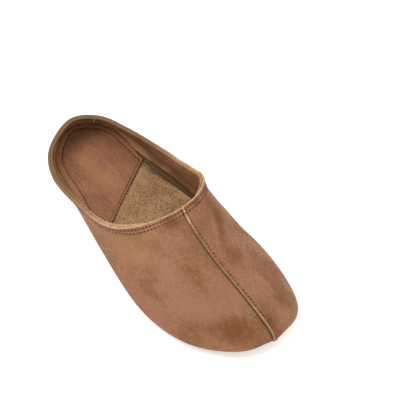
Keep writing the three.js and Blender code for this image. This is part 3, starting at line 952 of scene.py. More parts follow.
class SetOutTree:
    """A Geometry Nodes tree that sets out one small shape many times over a guide."""

    def __init__(self, name: str, sizes: dict[str, float]) -> None:
        """Makes the tree's ends.

        Args:
            name: the tree's name.
            sizes: its sizes and their first values.
        """
        self.tree = bpy.data.node_groups.new(name, "GeometryNodeTree")
        face = self.tree.interface
        face.new_socket("Guide", in_out="INPUT", socket_type="NodeSocketGeometry")
        for label, value in sizes.items():
            face.new_socket(label, in_out="INPUT", socket_type="NodeSocketFloat").default_value = value
        face.new_socket("Seed", in_out="INPUT", socket_type="NodeSocketInt")
        face.new_socket("Material", in_out="INPUT", socket_type="NodeSocketMaterial")
        face.new_socket("Made", in_out="OUTPUT", socket_type="NodeSocketGeometry")
        self.sheet = Sheet(self.tree)
        self.given = self.tree.nodes.new("NodeGroupInput").outputs

    def vary(self, low: Feed, high: Feed) -> bpy.types.NodeSocket:
        """A size between low and high, drawn for each place."""
        made = self.sheet.node("FunctionNodeRandomValue", {"data_type": "FLOAT"}, Seed=self.given["Seed"])
        floats = [socket for socket in made.inputs if socket.type == "VALUE" and socket.enabled]
        self.sheet.feed(floats[0], low)
        self.sheet.feed(floats[1], high)
        return next(socket for socket in made.outputs if socket.enabled)

    def end(self, instances: Feed, smooth: bool) -> None:
        """Makes the instances real, gives them the material and leads them out."""
        made = self.sheet.node("GeometryNodeRealizeInstances", None, Geometry=instances).outputs[0]
        if smooth:
            made = self.sheet.node("GeometryNodeSetShadeSmooth", None, Geometry=made).outputs[0]
        made = self.sheet.node("GeometryNodeSetMaterial", None, Geometry=made,
                               Material=self.given["Material"])
        self.sheet.feed(self.tree.nodes.new("NodeGroupOutput").inputs["Made"], made.outputs[0])

    def keep(self, name: str, guide: bpy.types.Object, material: bpy.types.Material, seed: int,
             sizes: dict[str, float]) -> bpy.types.Object:
        """Runs the tree over a guide, keeps the result as a plain mesh and takes the guide away.

        Args:
            name: the piece's name.
            guide: the mesh that the shapes are set out on.
            material: their material.
            seed: for what differs from place to place.
            sizes: the tree's sizes by name, in metres where they are lengths.

        Returns:
            The finished piece.
        """
        modifier = guide.modifiers.new("set_out", "NODES")
        modifier.node_group = self.tree
        ends = self.tree.interface.items_tree
        keys = {item.name: item.identifier for item in ends if item.in_out == "INPUT"}
        for label, value in (*sizes.items(), ("Seed", seed), ("Material", material)):
            modifier[keys[label]] = value
        bpy.context.view_layer.update()
        graph = bpy.context.evaluated_depsgraph_get()
        plain = bpy.data.meshes.new_from_object(guide.evaluated_get(graph), depsgraph=graph)
        plain.name = name
        bpy.data.objects.remove(guide)
        piece = place(name, plain)
        if not plain.materials:
            plain.materials.append(material)
        return piece


class Beads(NamedTuple):
    """The beads of a row of stitches: lengths in millimetres, and how far a bead's size may lie from 1."""

    pitch: float
    length: float
    width: float
    height: float
    unevenness: float
    along: float = 0.0
    lift: float = 0.0


class StitchTree(SetOutTree):
    """The tree that sets rounded beads along a line, each lying along it and square to the hide."""

    def __init__(self) -> None:
        """Builds the tree."""
        super().__init__("stitch_row", {"Pitch": 3.0, "Length": 2.2, "Width": 0.6, "Height": 0.4,
                                        "Along": 0.0, "Lift": 0.0, "Unevenness": 0.12})
        sheet, given = self.sheet, self.given
        line = sheet.node("GeometryNodeMeshToCurve", None, Mesh=given["Guide"]).outputs[0]
        spaced = sheet.node("GeometryNodeResampleCurve", {"mode": "LENGTH"}, Curve=line,
                            Length=given["Pitch"])
        up = sheet.node("GeometryNodeInputNamedAttribute", {"data_type": "FLOAT_VECTOR"},
                        Name="up").outputs[0]
        tangent = sheet.node("GeometryNodeInputTangent").outputs[0]
        stood = sheet.node("FunctionNodeAlignRotationToVector", {"axis": "Z"}, Vector=up).outputs[0]
        laid = sheet.node("FunctionNodeAlignRotationToVector", {"axis": "X", "pivot_axis": "Z"},
                          Rotation=stood, Vector=tangent).outputs[0]
        ball = sheet.node("GeometryNodeMeshUVSphere", None, Segments=8, Rings=5, Radius=0.5).outputs[0]
        size = sheet.node("ShaderNodeCombineXYZ", None, X=given["Length"], Y=given["Width"],
                          Z=given["Height"]).outputs[0]
        bead = sheet.node("GeometryNodeTransform", None, Geometry=ball, Scale=size).outputs[0]
        varied = self.vary(sheet.maths("SUBTRACT", 1.0, given["Unevenness"]),
                           sheet.maths("ADD", 1.0, given["Unevenness"]))
        set_out = sheet.node("GeometryNodeInstanceOnPoints", None, Points=spaced.outputs[0], Instance=bead,
                             Rotation=laid, Scale=varied).outputs[0]
        offset = sheet.node("ShaderNodeCombineXYZ", None, X=given["Along"], Y=0.0, Z=given["Lift"]).outputs[0]
        moved = sheet.node("GeometryNodeTranslateInstances", None, Instances=set_out, Translation=offset,
                           Local_Space=True).outputs[0]
        self.end(moved, True)

    def sew(self, name: str, line: np.ndarray, ups: np.ndarray, shift: np.ndarray, closed: bool,
            material: bpy.types.Material, seed: int, beads: Beads) -> bpy.types.Object:
        """Runs the tree along a line and keeps the result as a plain mesh.

        Args:
            name: the piece's name.
            line: the row's points, in the last's millimetres.
            ups: the hide's outward direction at each point.
            shift: from the last's frame to the slipper's, in millimetres.
            closed: whether the row runs round to its start.
            material: the beads' material.
            seed: for their unevenness.
            beads: their sizes.

        Returns:
            The finished piece.
        """
        mesh = bpy.data.meshes.new(name + "_line")
        count = len(line)
        edges = [(i, (i + 1) % count) for i in range(count if closed else count - 1)]
        mesh.from_pydata(((line + shift) * MM).tolist(), edges, [])
        up = mesh.attributes.new("up", "FLOAT_VECTOR", "POINT")
        up.data.foreach_set("vector", ups.astype(np.float32).ravel())
        sizes = {label.capitalize(): value * MM for label, value in beads._asdict().items()}
        sizes["Unevenness"] = beads.unevenness
        return self.keep(name, place(name + "_guide", mesh), material, seed, sizes)


class FibreTree(SetOutTree):
    """The tree that grows short fibres from a guide's faces, each leaning its own way."""

    def __init__(self) -> None:
        """Builds the tree."""
        super().__init__("fibre_fringe", {"Density": 1.0, "Length": 1.0, "Radius": 0.05, "Lean": 0.7})
        sheet, given = self.sheet, self.given
        spread = sheet.node("GeometryNodeDistributePointsOnFaces", None, Mesh=given["Guide"],
                            Density=given["Density"], Seed=given["Seed"])
        any_way = sheet.node("FunctionNodeRandomValue", {"data_type": "FLOAT_VECTOR"}, Seed=given["Seed"])
        sheet.feed(any_way.inputs[0], (-1.0, -1.0, -1.0))
        sheet.feed(any_way.inputs[1], (1.0, 1.0, 1.0))
        leaning = sheet.node("ShaderNodeVectorMath", {"operation": "SCALE"}, Scale=given["Lean"])
        sheet.feed(leaning.inputs[0], any_way.outputs[0])
        way = sheet.node("ShaderNodeVectorMath", {"operation": "ADD"})
        sheet.feed(way.inputs[0], spread.outputs["Normal"])
        sheet.feed(way.inputs[1], leaning.outputs[0])
        turned = sheet.node("FunctionNodeAlignRotationToVector", {"axis": "Z"}, Vector=way.outputs[0])
        spike = sheet.node("GeometryNodeMeshCone", {"fill_type": "NONE"}, Vertices=3, Radius_Top=0.0,
                           Radius_Bottom=given["Radius"], Depth=given["Length"]).outputs[0]
        grown = sheet.node("GeometryNodeInstanceOnPoints", None, Points=spread.outputs["Points"],
                           Instance=spike, Rotation=turned.outputs[0], Scale=self.vary(0.35, 1.0)).outputs[0]
        self.end(grown, False)


def stations(count: int, ends: float = 0.6) -> np.ndarray:
    """Shares from 0 to 1, closer together at both ends."""
    even = np.linspace(0, 1, count + 1)
    return lerp(even, (1 - np.cos(math.pi * even)) / 2, ends)


def lowest_within(last: Last, u: np.ndarray, line: np.ndarray, reach: float) -> np.ndarray:
    """For each column, the lowest place on it that lies within a distance of a line near its top."""
    return last_inside(lambda v: distance_to(line, last.face(u, v)) < reach, np.ones(u.shape),
                       np.zeros(u.shape))


def ridge_reach(last: Last, reach: float) -> float:
    """The place on the ridge that lies a distance from the opening's edge."""
    line, ridge = last.edge_line(), last.ridge_curve
    return float(last_inside(lambda share: distance_to(line, ridge.at(share)) < reach, 1.0, 0.5))


def side_places(count: int) -> np.ndarray:
    """Places of the opening's sides, from 1 at its front to 2 at the heel, closest together in front."""
    share = np.linspace(0, 1, count)
    return 1 + lerp(share, share**1.6, 0.6)


def over_edge(outer: np.ndarray, inner: np.ndarray, climb: np.ndarray, rise: np.ndarray,
              count: int) -> np.ndarray:
    """Points of a wall's rounded top edge.

    Args:
        outer: the outer face's last points.
        inner: the inner face's last points.
        climb: the wall's upward directions there.
        rise: how far the edge stands above the faces.
        count: how many points the rounding has.

    Returns:
        The rounding's points, from the outer face over to the inner one.
    """
    turn = np.linspace(0, math.pi, count + 2)[1:-1]
    arc = lerp(outer[:, None], inner[:, None], ((1 - np.cos(turn)) / 2)[None, :, None])
    return arc + climb[:, None] * (rise[:, None] * (np.sin(turn) ** 0.7)[None, :])[..., None]


def rim_age(columns: np.ndarray) -> np.ndarray:
    """How dark the opening's raw edge has grown, towards the heel, for each column."""
    return smoothstep(np.abs(columns), 1.25, 1.6)[:, None]


@dataclass
class Upper:
    """The two panels of the upper, lapped along the front, as one hollow wall with raw edges."""

    last: Last
    hide: bpy.types.Material
    vamp_columns: int = 84
    side_columns: int = 118
    rows: int = 46
    rim_points: int = 7
    rim_rise: float = 0.45
    lap_overhang: float = 0.35
    lap_wander: float = 0.36
    # The band of shade painted along the medial inner wall's foot: its greatest height, and where along the
    # foot it peaks and how far it spreads, in millimetres.
    foot_shade: float = 4.2
    recess_place: float = 94.0
    recess_half: float = 40.0
    patches: Spots = field(default_factory=dict)

    def _columns(self) -> np.ndarray:
        """Places of the columns, from the toe's lateral side round the heel to its medial side."""
        stands = np.concatenate([stations(self.vamp_columns)[:-1], side_places(self.side_columns + 1)])
        return np.concatenate([-stands, stands[-2::-1]])

    def _rows(self) -> np.ndarray:
        """Places up a column, closer together near the top."""
        share = np.linspace(0, 1, self.rows)
        return np.sort(np.append(lerp(share, 1 - (1 - share) ** 2, 0.45), [0.982, 0.991]))

    def build(self, shift: np.ndarray) -> bpy.types.Object:
        """Makes the wall."""
        last = self.last
        columns, rows = self._columns(), self._rows()
        count = len(columns)
        medial = np.zeros(count, bool)
        medial[count // 2 + 1:] = True
        u, v = np.broadcast_arrays(columns[:, None], rows[None, :])
        signed = np.where(medial[:, None], np.maximum(u, 1e-9), np.minimum(u, -1e-9))
        base, outward = last.face(u, v), last.outward(u, v)
        seam = distance_to(last.seam_line(), base)
        rim = distance_to(last.edge_line(), base)
        folds = last.worn(base, v)
        wander = self.lap_wander * last.waver(base)
        lap = np.where(medial[:, None], last.lap_at(v, seam, base), 0)
        outer = base + outward * (lap + folds)[..., None]
        inner = base + outward * (folds - last.wall)[..., None]
        shades = shades_at(self.patches, base)
        signed_seam = np.where(signed > 0, seam, -seam)
        aged = np.broadcast_to(rim_age(columns), rim.shape)
        aged = np.maximum(aged, np.where(seam < rim, self._seam_age(base[..., 0]), 0))

        on_vamp = smoothstep(np.abs(columns), 1.01, 0.99)
        rise = lerp(self.rim_rise, np.where(medial, self.lap_overhang, -0.15), on_vamp)
        rise = rise + np.where(medial, wander[:, -1] * on_vamp, 0)
        arc = over_edge(outer[:, -1], inner[:, -1], last.climb(columns), rise, self.rim_points)
        foot = lerp(inner[:, 0][:, None], outer[:, 0][:, None], np.array([0.5])[None, :, None])
        rings = np.concatenate([outer, arc, inner[:, ::-1], foot], axis=1)
        rings = np.concatenate([rings, rings[:, :1]], axis=1)

        high = len(rows)
        cut = np.zeros(rings.shape[:2])
        spill = np.where(medial[:, None], self._seam_width(base[..., 0]), 0.05)
        cut[:, :high] = np.maximum(smoothstep(seam, spill, spill * 0.4), smoothstep(rim, 0.9, 0.3))
        cut[:, high - 1:high + self.rim_points + 1] = 1
        cut[0, :high] = cut[-1, :high] = 0.9
        inside = np.zeros(rings.shape[:2])
        inside[:, high + self.rim_points:-1] = 1

        def ringed(values: np.ndarray) -> np.ndarray:
            """Values of the wall's places, set out round the rings."""
            arc_values = np.repeat(values[:, -1:], self.rim_points, axis=1)
            return np.concatenate([values, arc_values, values[:, ::-1], values[:, :1], values[:, :1]], axis=1)

        # Painted shade: the band at the medial inner wall's foot reaches up to a height above the insole that
        # peaks near the waist.
        above = inner[..., 2] - (last.outsole + last.gap + last.insole)
        reach = self.foot_shade * np.exp(-((base[..., 0] - self.recess_place) / self.recess_half) ** 2)
        foot_shade = np.where(medial[:, None], smoothstep(above, reach + 1.2, reach - 1.2), 0)
        skin = Skin()
        values = {"rim": rim, "seam": signed_seam, "aged": aged, "foot_shade": foot_shade, **shades}
        numbers = skin.grid(rings, flip=True, cut=cut, inside=inside,
                            **{label: ringed(value) for label, value in values.items()})
        self._close_ends(skin, numbers, high)
        mesh = skin.mesh("upper_leather", shift, tidy=True)
        mesh.set_sharp_from_angle(angle=math.radians(55))
        return place("upper_leather", mesh, self.hide)

    def _seam_age(self, along: np.ndarray) -> np.ndarray:
        """How dark the seam's raw edge has grown: not near the opening, and less again at the toe."""
        return smoothstep(along, 144, 168) * lerp(0.75, 0.5, smoothstep(along, 215, 235))

    def _seam_width(self, along: np.ndarray) -> np.ndarray:
        """How far the seam's raw edge spreads on the medial panel: most at the toe and near the opening."""
        return 0.7 + (0.9 * smoothstep(along, 214, 236) + 0.7 * smoothstep(along, 170, 146))

    def _close_ends(self, skin: Skin, numbers: np.ndarray, high: int) -> None:
        """Closes the wall's two ends, which meet under the lap at the toe.

        Args:
            skin: the wall's skin.
            numbers: its points' numbers, one ring for each column.
            high: how many points a ring has up its outer face.
        """
        top = high + self.rim_points
        for end, flip in ((0, False), (-1, True)):
            ring = numbers[end]
            skin.quads(np.stack([ring[:high], ring[top:top + high][::-1]], axis=1), flip)
            rim_fan = list(ring[high - 1:top + 1])
            foot_fan = [ring[top + high - 1], ring[top + high], ring[0]]
            for fan in (rim_fan, foot_fan):
                skin.faces.append(tuple(int(i) for i in (fan if flip else fan[::-1])))


@dataclass
class CollarFacing:
    """The band inside the opening, with lines pressed along it."""

    last: Last
    suede: bpy.types.Material
    depth: float = 12.0
    clearance: float = 0.15
    columns_aside: int = 150
    rows: int = 40
    rim_points: int = 7
    rim_rise: float = 0.4
    line_depth: float = 0.3

    def build(self, shift: np.ndarray) -> bpy.types.Object:
        """Makes the band."""
        last = self.last
        start = ridge_reach(last, self.depth)
        stands = np.concatenate([np.linspace(start, 1, 14)[:-1], side_places(self.columns_aside + 1)])
        columns = np.concatenate([-stands, stands[-2::-1]])
        low = lowest_within(last, columns, last.edge_line(), self.depth)
        low[[0, -1]] = 1 - 1e-4
        rows = np.linspace(0, 1, self.rows)
        u = np.broadcast_to(columns[:, None], (len(columns), self.rows))
        v = lerp(low[:, None], 1.0, rows[None, :])
        base, outward = last.face(u, v), last.outward(u, v)
        rim = distance_to(last.edge_line(), base)
        folds = last.worn(base, v)
        beat = 2 * math.pi * (rim - FACING_LINES[0]) / LINE_PITCH
        pressed = self.line_depth * (1 + np.cos(beat)) / 2 * smoothstep(rim, 0.5, 1.2)
        outer_depth = last.wall + self.clearance
        outer = base + outward * (folds - outer_depth)[..., None]
        inner = base + outward * (folds - outer_depth - last.facing + pressed)[..., None]
        rise = self.rim_rise * smoothstep(np.abs(columns), 0.99, 1.01)
        arc = over_edge(outer[:, -1], inner[:, -1], last.climb(columns), rise, self.rim_points)
        rings = np.concatenate([outer, arc, inner[:, ::-1], outer[:, :1]], axis=1)
        cut = np.zeros(rings.shape[:2])
        hidden = smoothstep(columns, 1.03, 1.15) * smoothstep(columns, 1.75, 1.6)
        cut[:, self.rows - 1:self.rows + self.rim_points + 1] = (1 - hidden)[:, None]
        arc_rim = np.repeat(rim[:, -1:], self.rim_points, axis=1)
        rim_values = np.concatenate([rim, arc_rim, rim[:, ::-1], rim[:, :1]], axis=1)
        skin = Skin()
        numbers = skin.grid(rings, flip=True, cut=cut, rim=rim_values, border=99.0, aged=rim_age(columns))
        for end, flip in ((0, False), (-1, True)):
            ring = [int(i) for i in numbers[end][:-1]]
            skin.faces.append(tuple(ring if flip else ring[::-1]))
        mesh = skin.mesh("collar_suede", shift, tidy=True)
        mesh.set_sharp_from_angle(angle=math.radians(60))
        return place("collar_suede", mesh, self.suede)


@dataclass(frozen=True)
class Ring:
    """A level of a plate's edge: how far it stands out from the feather line, its height and its spread."""

    out: float
    height: float
    spread: float = 0.0


@dataclass
class Plate:
    """A plate cut to the feather line, with a shaped edge and a face that swells and dips a little."""

    name: str
    last: Last
    finish: bpy.types.Material
    rings: tuple[Ring, ...]
    front: tuple[float, float] = (0.0, 0.0)
    front_border: float = 0.0
    patches: Spots = field(default_factory=dict)
    along: int = 150
    over: int = 44
    swell: Callable[[np.ndarray, np.ndarray], np.ndarray] | None = None

    def outline(self, out: float, count: int | None = None,
                spread: float = 0.0) -> tuple[np.ndarray, np.ndarray]:
        """The plate's lateral and medial edges from front to heel.

        Args:
            out: how far they stand out from the feather line.
            count: how many steps they have.
            spread: how much farther they stand out towards the heel.

        Returns:
            The lateral and the medial edge.
        """
        share = stations(count or self.along)
        lateral, lateral_out = self.last.feather(-1, lerp(self.front[0], 1, share))
        medial, medial_out = self.last.feather(1, lerp(self.front[1], 1, share))
        wide = (out + spread * smoothstep(share, 0.0, 0.25))[:, None]
        lateral, medial = lateral + lateral_out * wide, medial + medial_out * wide
        if self.front[0] > 0:
            ahead = unit(np.cross(medial[0] - lateral[0], UP))
            lateral[0] += ahead * out
            medial[0] += ahead * out
        return lateral, medial

    def border(self, points: np.ndarray) -> np.ndarray:
        """Distances in plan from the plate's edge; those from its front count from front_border."""
        lateral, medial = self.outline(0, 90)
        sides = distance_to(np.vstack([lateral, medial[::-1]]) * IN_PLAN, points * IN_PLAN)
        return np.minimum(sides, self.from_front(points) + self.front_border)

    def from_front(self, points: np.ndarray) -> np.ndarray:
        """Distances in plan from the plate's front edge."""
        lateral, medial = self.outline(0, 2)
        return distance_to(np.vstack([lateral[:1], medial[:1]]) * IN_PLAN, points * IN_PLAN)

    def build(self, shift: np.ndarray) -> bpy.types.Object:
        """Makes the plate."""
        over = stations(self.over, 0.75)
        levels = []
        for ring in self.rings:
            lateral, medial = self.outline(ring.out, None, ring.spread)
            level = lerp(lateral[:, None], medial[:, None], over[None, :, None])
            level[..., 2] = ring.height + self.last.spring(level[..., 0])
            levels.append(level)
        top = levels[-1]
        border = self.border(top)
        if self.swell is not None:
            inward = smoothstep(border, 0.0, 1.2)
            top[..., 2] += self.swell(top, border) * inward
        skin = Skin()
        skin.grid(levels[0], border=self.border(levels[0]))
        has_front = self.front[0] > 0
        cut = smoothstep(self.from_front(top), 1.0, 0.5) if has_front else 0.0
        skin.grid(top, flip=True, border=border, cut=cut, aged=1.0, **shades_at(self.patches, top))

        def rim(level: np.ndarray) -> np.ndarray:
            """The level's points once round its edge."""
            return np.vstack([level[:, 0], level[-1, 1:], level[:-1, -1][::-1], level[0, :-1][::-1]])

        wall = np.stack([rim(level) for level in levels], axis=1)
        skin.grid(wall, flip=True, border=0.0, cut=float(has_front), aged=1.0)
        mesh = skin.mesh(self.name, shift, tidy=True)
        mesh.set_sharp_from_angle(angle=math.radians(60))
        return place(self.name, mesh, self.finish)


def resting_sole(points: np.ndarray, border: np.ndarray) -> np.ndarray:
    """The slight unevenness of a split hide's face."""
    x, y = points[..., 0], points[..., 1]
    return 0.12 * np.sin(x * 0.11 + 0.6) * np.sin(y * 0.17 + 1.1) + 0.06 * np.sin(x * 0.31) * np.sin(y * 0.37)


def pressed_insole(points: np.ndarray, border: np.ndarray) -> np.ndarray:
    """An insole's face: lifted a little along its border."""
    return resting_sole(points, border) + 0.25 * np.exp(-border / 6.0)


def quilted_pad(points: np.ndarray, border: np.ndarray) -> np.ndarray:
    """The heel pad's face, which its stitches draw down and which swells a little between them."""
    dip = 0.32 * np.exp(-((border - PAD_ROW) / 0.9) ** 2)
    return resting_sole(points, border) * 0.6 - dip + 0.12 * smoothstep(border, 5, 16)


@dataclass
class Stitching:
    """Every row of stitches on the slipper, with its sizes in millimetres."""

    last: Last
    thread: bpy.types.Material
    hole: bpy.types.Material
    pale_thread: bpy.types.Material
    shift: np.ndarray
    wall_pitch: float = 2.9
    wall_size: float = 1.1
    pad_pitch: float = 3.1
    pad_size: float = 1.25
    tack_place: float = 1.86
    tack_span: tuple[float, float] = (0.62, 0.97)
    tack_beads: Beads = Beads(1.6, 1.6, 1.5, 0.8, 0.15)
    sole_beads: Beads = Beads(3.4, 2.5, 0.7, 0.7, 0.1)
    lift: float = 0.05
    pad_lift: float = 0.06
    tree: StitchTree = field(default_factory=StitchTree)

    def row(self, name: str, line: np.ndarray, ups: np.ndarray, pitch: float, size: float,
            seed: int) -> list[bpy.types.Object]:
        """Sews a row: threads that sink at their ends, and dark beads between them that paint the shade of
        the stitch holes.

        Args:
            name: the row's name.
            line: its points, in the last's millimetres.
            ups: the hide's outward direction at each point.
            pitch: from one stitch to the next.
            size: the dark beads' size, where 1 is a bead 1.3 mm long.
            seed: for the threads' unevenness; the dark beads take the next one.

        Returns:
            The threads and the dark beads.
        """
        threads = Beads(pitch, pitch * 0.7, 0.4, 0.3, 0.08, lift=-0.06)
        # Painted shade: the stitch holes are dark flattened beads set between the threads, not cut into the
        # hide.
        hole_shades = Beads(pitch, 1.3 * size, 0.95 * size, 0.26 * size, 0.18, along=pitch / 2)
        return [
            self.tree.sew(name + "_threads", line, ups, self.shift, False, self.thread, seed, threads),
            self.tree.sew(name + "_holes", line, ups, self.shift, False, self.hole, seed + 1, hole_shades),
        ]

    def _on_wall(self, u: np.ndarray, v: np.ndarray) -> tuple[np.ndarray, np.ndarray]:
        """Points and outward directions on the wall, lifted off it."""
        last = self.last
        base, outward = last.face(u, v), last.outward(u, v)
        seam = distance_to(last.seam_line(), base)
        lap = np.where(u > 0, last.lap_at(v, seam, base), 0)
        return base + outward * (lap + last.worn(base, v) + self.lift)[:, None], outward

    def rim_row(self, name: str, below: float, seed: int) -> list[bpy.types.Object]:
        """A row that runs round the opening at a distance below its edge."""
        start = ridge_reach(self.last, below)
        stands = np.concatenate([np.linspace(start, 1, 5)[:-1], side_places(130)])
        pieces = []
        for side in Side:
            u = stands * side.value
            v = lowest_within(self.last, u, self.last.edge_line(), below)
            line, ups = self._on_wall(u, v)
            pieces += self.row(f"{name}_{side.name.lower()}", line, ups, self.wall_pitch, self.wall_size,
                               seed + side.value)
        return pieces

    def seam_row(self, name: str, aside: float, seed: int) -> list[bpy.types.Object]:
        """The row that holds the lap, on its medial side from the opening to the toe."""
        last = self.last
        along = np.linspace(0.985, 0.0, 120)
        down = np.linspace(1, 0.3, 50)[1:]
        start_u = np.concatenate([along, np.zeros(len(down))])
        start_v = np.concatenate([np.ones(len(along)), down])
        line = last.seam_line()

        def towards_side(share: np.ndarray) -> tuple[np.ndarray, np.ndarray]:
            """Places at shares of the way from the seam to the middle of the medial side."""
            return np.maximum(lerp(start_u, 0.9, share), 1e-6), lerp(start_v, 0.3, share)

        share = last_inside(lambda way: distance_to(line, last.face(*towards_side(way))) < aside,
                            np.zeros(len(start_u)), np.ones(len(start_u)))
        points, ups = self._on_wall(*towards_side(share))
        return self.row(name, points, ups, self.wall_pitch, self.wall_size, seed)

    def heel_tack(self, name: str, seed: int) -> bpy.types.Object:
        """The short upright row that closes the facing's ends, inside at the middle of the heel."""
        last = self.last
        v = np.linspace(*self.tack_span, 12)
        u = np.full(len(v), self.tack_place)
        outward = last.outward(u, v)
        line = last.face(u, v) - outward * (last.wall + last.facing + 0.3)
        return self.tree.sew(name, line, -outward, self.shift, False, self.pale_thread, seed, self.tack_beads)

    def pad_rows(self, name: str, pad: Plate, seed: int) -> list[bpy.types.Object]:
        """The row along the heel pad's border and the one along its front."""
        lateral, medial = pad.outline(-PAD_ROW, 200)
        ahead = unit(np.cross(medial[0] - lateral[0], UP)) * (PAD_ROW - PAD_FRONT_ROW)
        lateral[0] += ahead
        medial[0] += ahead
        round_heel = np.vstack([lateral, medial[::-1][1:]])
        across = lerp(lateral[0], medial[0], np.linspace(0, 1, 20)[:, None])
        pieces = []
        for label, line in (("border", round_heel), ("front", across)):
            line = line.copy()
            swell = quilted_pad(line, np.full(len(line), PAD_ROW))
            line[:, 2] = pad.rings[-1].height + swell + self.pad_lift
            ups = np.broadcast_to(UP, line.shape)
            pieces += self.row(f"{name}_{label}", line, ups, self.pad_pitch, self.pad_size, seed)
            seed += 2
        return pieces

    def sole_row(self, name: str, seed: int) -> bpy.types.Object:
        """The stitches that join the upper's foot to the sole."""
        line, ups = self.last.feather_loop(220)
        line, ups = line[:-1] + ups[:-1] * 0.25, ups[:-1]
        line[:, 2] = self.last.outsole + self.last.gap / 2 + self.last.spring(line[:, 0])
        return self.tree.sew(name + "_threads", line, ups, self.shift, True, self.thread, seed,
                             self.sole_beads)


@dataclass(frozen=True)
class Fringe:
    """The loose fibres along the outsole's cut edge, with its sizes in millimetres."""

    levels: tuple[Ring, ...] = (Ring(0.35, 1.4), Ring(0.55, 2.0), Ring(0.55, 2.7), Ring(0.3, 3.4))
    count: int = 5200
    length: float = 1.4
    radius: float = 0.05
    seed: int = 17

    def build(self, last: Last, fibre: bpy.types.Material, shift: np.ndarray) -> bpy.types.Object:
        """Grows the fibres from a band round the outsole."""
        line, ways = last.feather_loop(260)
        band = []
        for ring in self.levels:
            level = line + ways * ring.out
            level[:, 2] = ring.height + last.spring(level[:, 0])
            band.append(level)
        skin = Skin()
        skin.grid(np.stack(band, axis=1), flip=True)
        guide = place("sole_fringe_guide", skin.mesh("sole_fringe_guide", shift))
        area = sum(face.area for face in guide.data.polygons)
        sizes = {"Density": self.count / area, "Length": self.length * MM, "Radius": self.radius * MM}
        return FibreTree().keep("sole_fringe", guide, fibre, self.seed, sizes)


@dataclass(frozen=True)
class Camera:
    """Where the photograph was taken from, worked out from the slipper's outline in it."""

    azimuth: float = 43.52
    elevation: float = 58.16
    roll: float = 7.48
    distance: float = 706.57
    aim_along: float = 137.87
    aim_across: float = 38.44
    aim_height: float = 20.0
    focal_pixels: float = 877.93
    frame_pixels: float = 416.0
    sensor: float = 36.0

    def build(self, shift: np.ndarray) -> None:
        """Makes the camera and gives it to the scene."""
        turn, rise, roll = (math.radians(angle) for angle in (self.azimuth, self.elevation, self.roll))
        back = Vector((math.sin(turn) * math.cos(rise), -math.cos(turn) * math.cos(rise), math.sin(rise)))
        right = (-back).cross(Vector((0, 0, 1))).normalized()
        up = right.cross(-back)
        right, up = right * math.cos(roll) + up * math.sin(roll), up * math.cos(roll) - right * math.sin(roll)
        aim = Vector((self.aim_along, self.aim_across, self.aim_height)) + Vector(shift)
        data = bpy.data.cameras.new("photograph")
        data.sensor_width = self.sensor
        data.lens = self.focal_pixels / self.frame_pixels * self.sensor
        data.clip_start = 0.01
        camera = bpy.data.objects.new("photograph", data)
        pose = Matrix((right, up, back)).transposed().to_4x4()
        pose.translation = (aim + back * self.distance) * MM
        camera.matrix_world = pose
        bpy.context.scene.collection.objects.link(camera)
        bpy.context.scene.camera = camera


@dataclass(frozen=True)
class Lamp:
    """A soft lamp over the floor: where it hangs, what it aims at, its size and its power."""

    name: str
    place: tuple[float, float, float]
    aim: tuple[float, float, float]
    size: float
    watts: float

    def build(self) -> None:
        """Hangs the lamp."""
        data = bpy.data.lights.new(self.name, "AREA")
        data.shape = "DISK"
        data.size = self.size
        data.energy = self.watts
        lamp = bpy.data.objects.new(self.name, data)
        lamp.location = self.place
        lamp.rotation_euler = (Vector(self.aim) - Vector(self.place)).to_track_quat("-Z", "Y").to_euler()
        bpy.context.scene.collection.objects.link(lamp)


@dataclass(frozen=True)
class Studio:
    """A pale floor under soft lamps."""

    lamps: tuple[Lamp, ...] = (
        Lamp("key", (-0.55, -0.45, 1.4), (0, 0, 0), 0.8, 11.0),
        Lamp("fill", (0.2, 0.9, 1.2), (0, 0, 0), 0.9, 2.0),
    )
    sky: float = 1.0
    floor_glow: float = 0.3
    floor_size: float = 6.0

    def build(self) -> None:
        """Makes the floor, the lamps and the sky."""
        half = self.floor_size / 2
        mesh = bpy.data.meshes.new("floor")
        corners = [(-half, -half, 0), (half, -half, 0), (half, half, 0), (-half, half, 0)]
        mesh.from_pydata(corners, [], [(0, 1, 2, 3)])
        material, sheet, shader = material_of("floor_paper", 0.95)
        shader.inputs["Base Color"].default_value = (0.9, 0.9, 0.9, 1)
        shader.inputs["Emission Color"].default_value = (1, 1, 1, 1)
        shader.inputs["Emission Strength"].default_value = self.floor_glow
        floor = place("floor", mesh, material)
        floor.location.z = -0.0002
        for lamp in self.lamps:
            lamp.build()
        world = bpy.data.worlds.new("sky")
        bpy.context.scene.world = world
        world.use_nodes = True
        background = world.node_tree.nodes["Background"]
        background.inputs["Color"].default_value = (1, 1, 1, 1)
        background.inputs["Strength"].default_value = self.sky
        bpy.context.scene.view_settings.view_transform = "Standard"


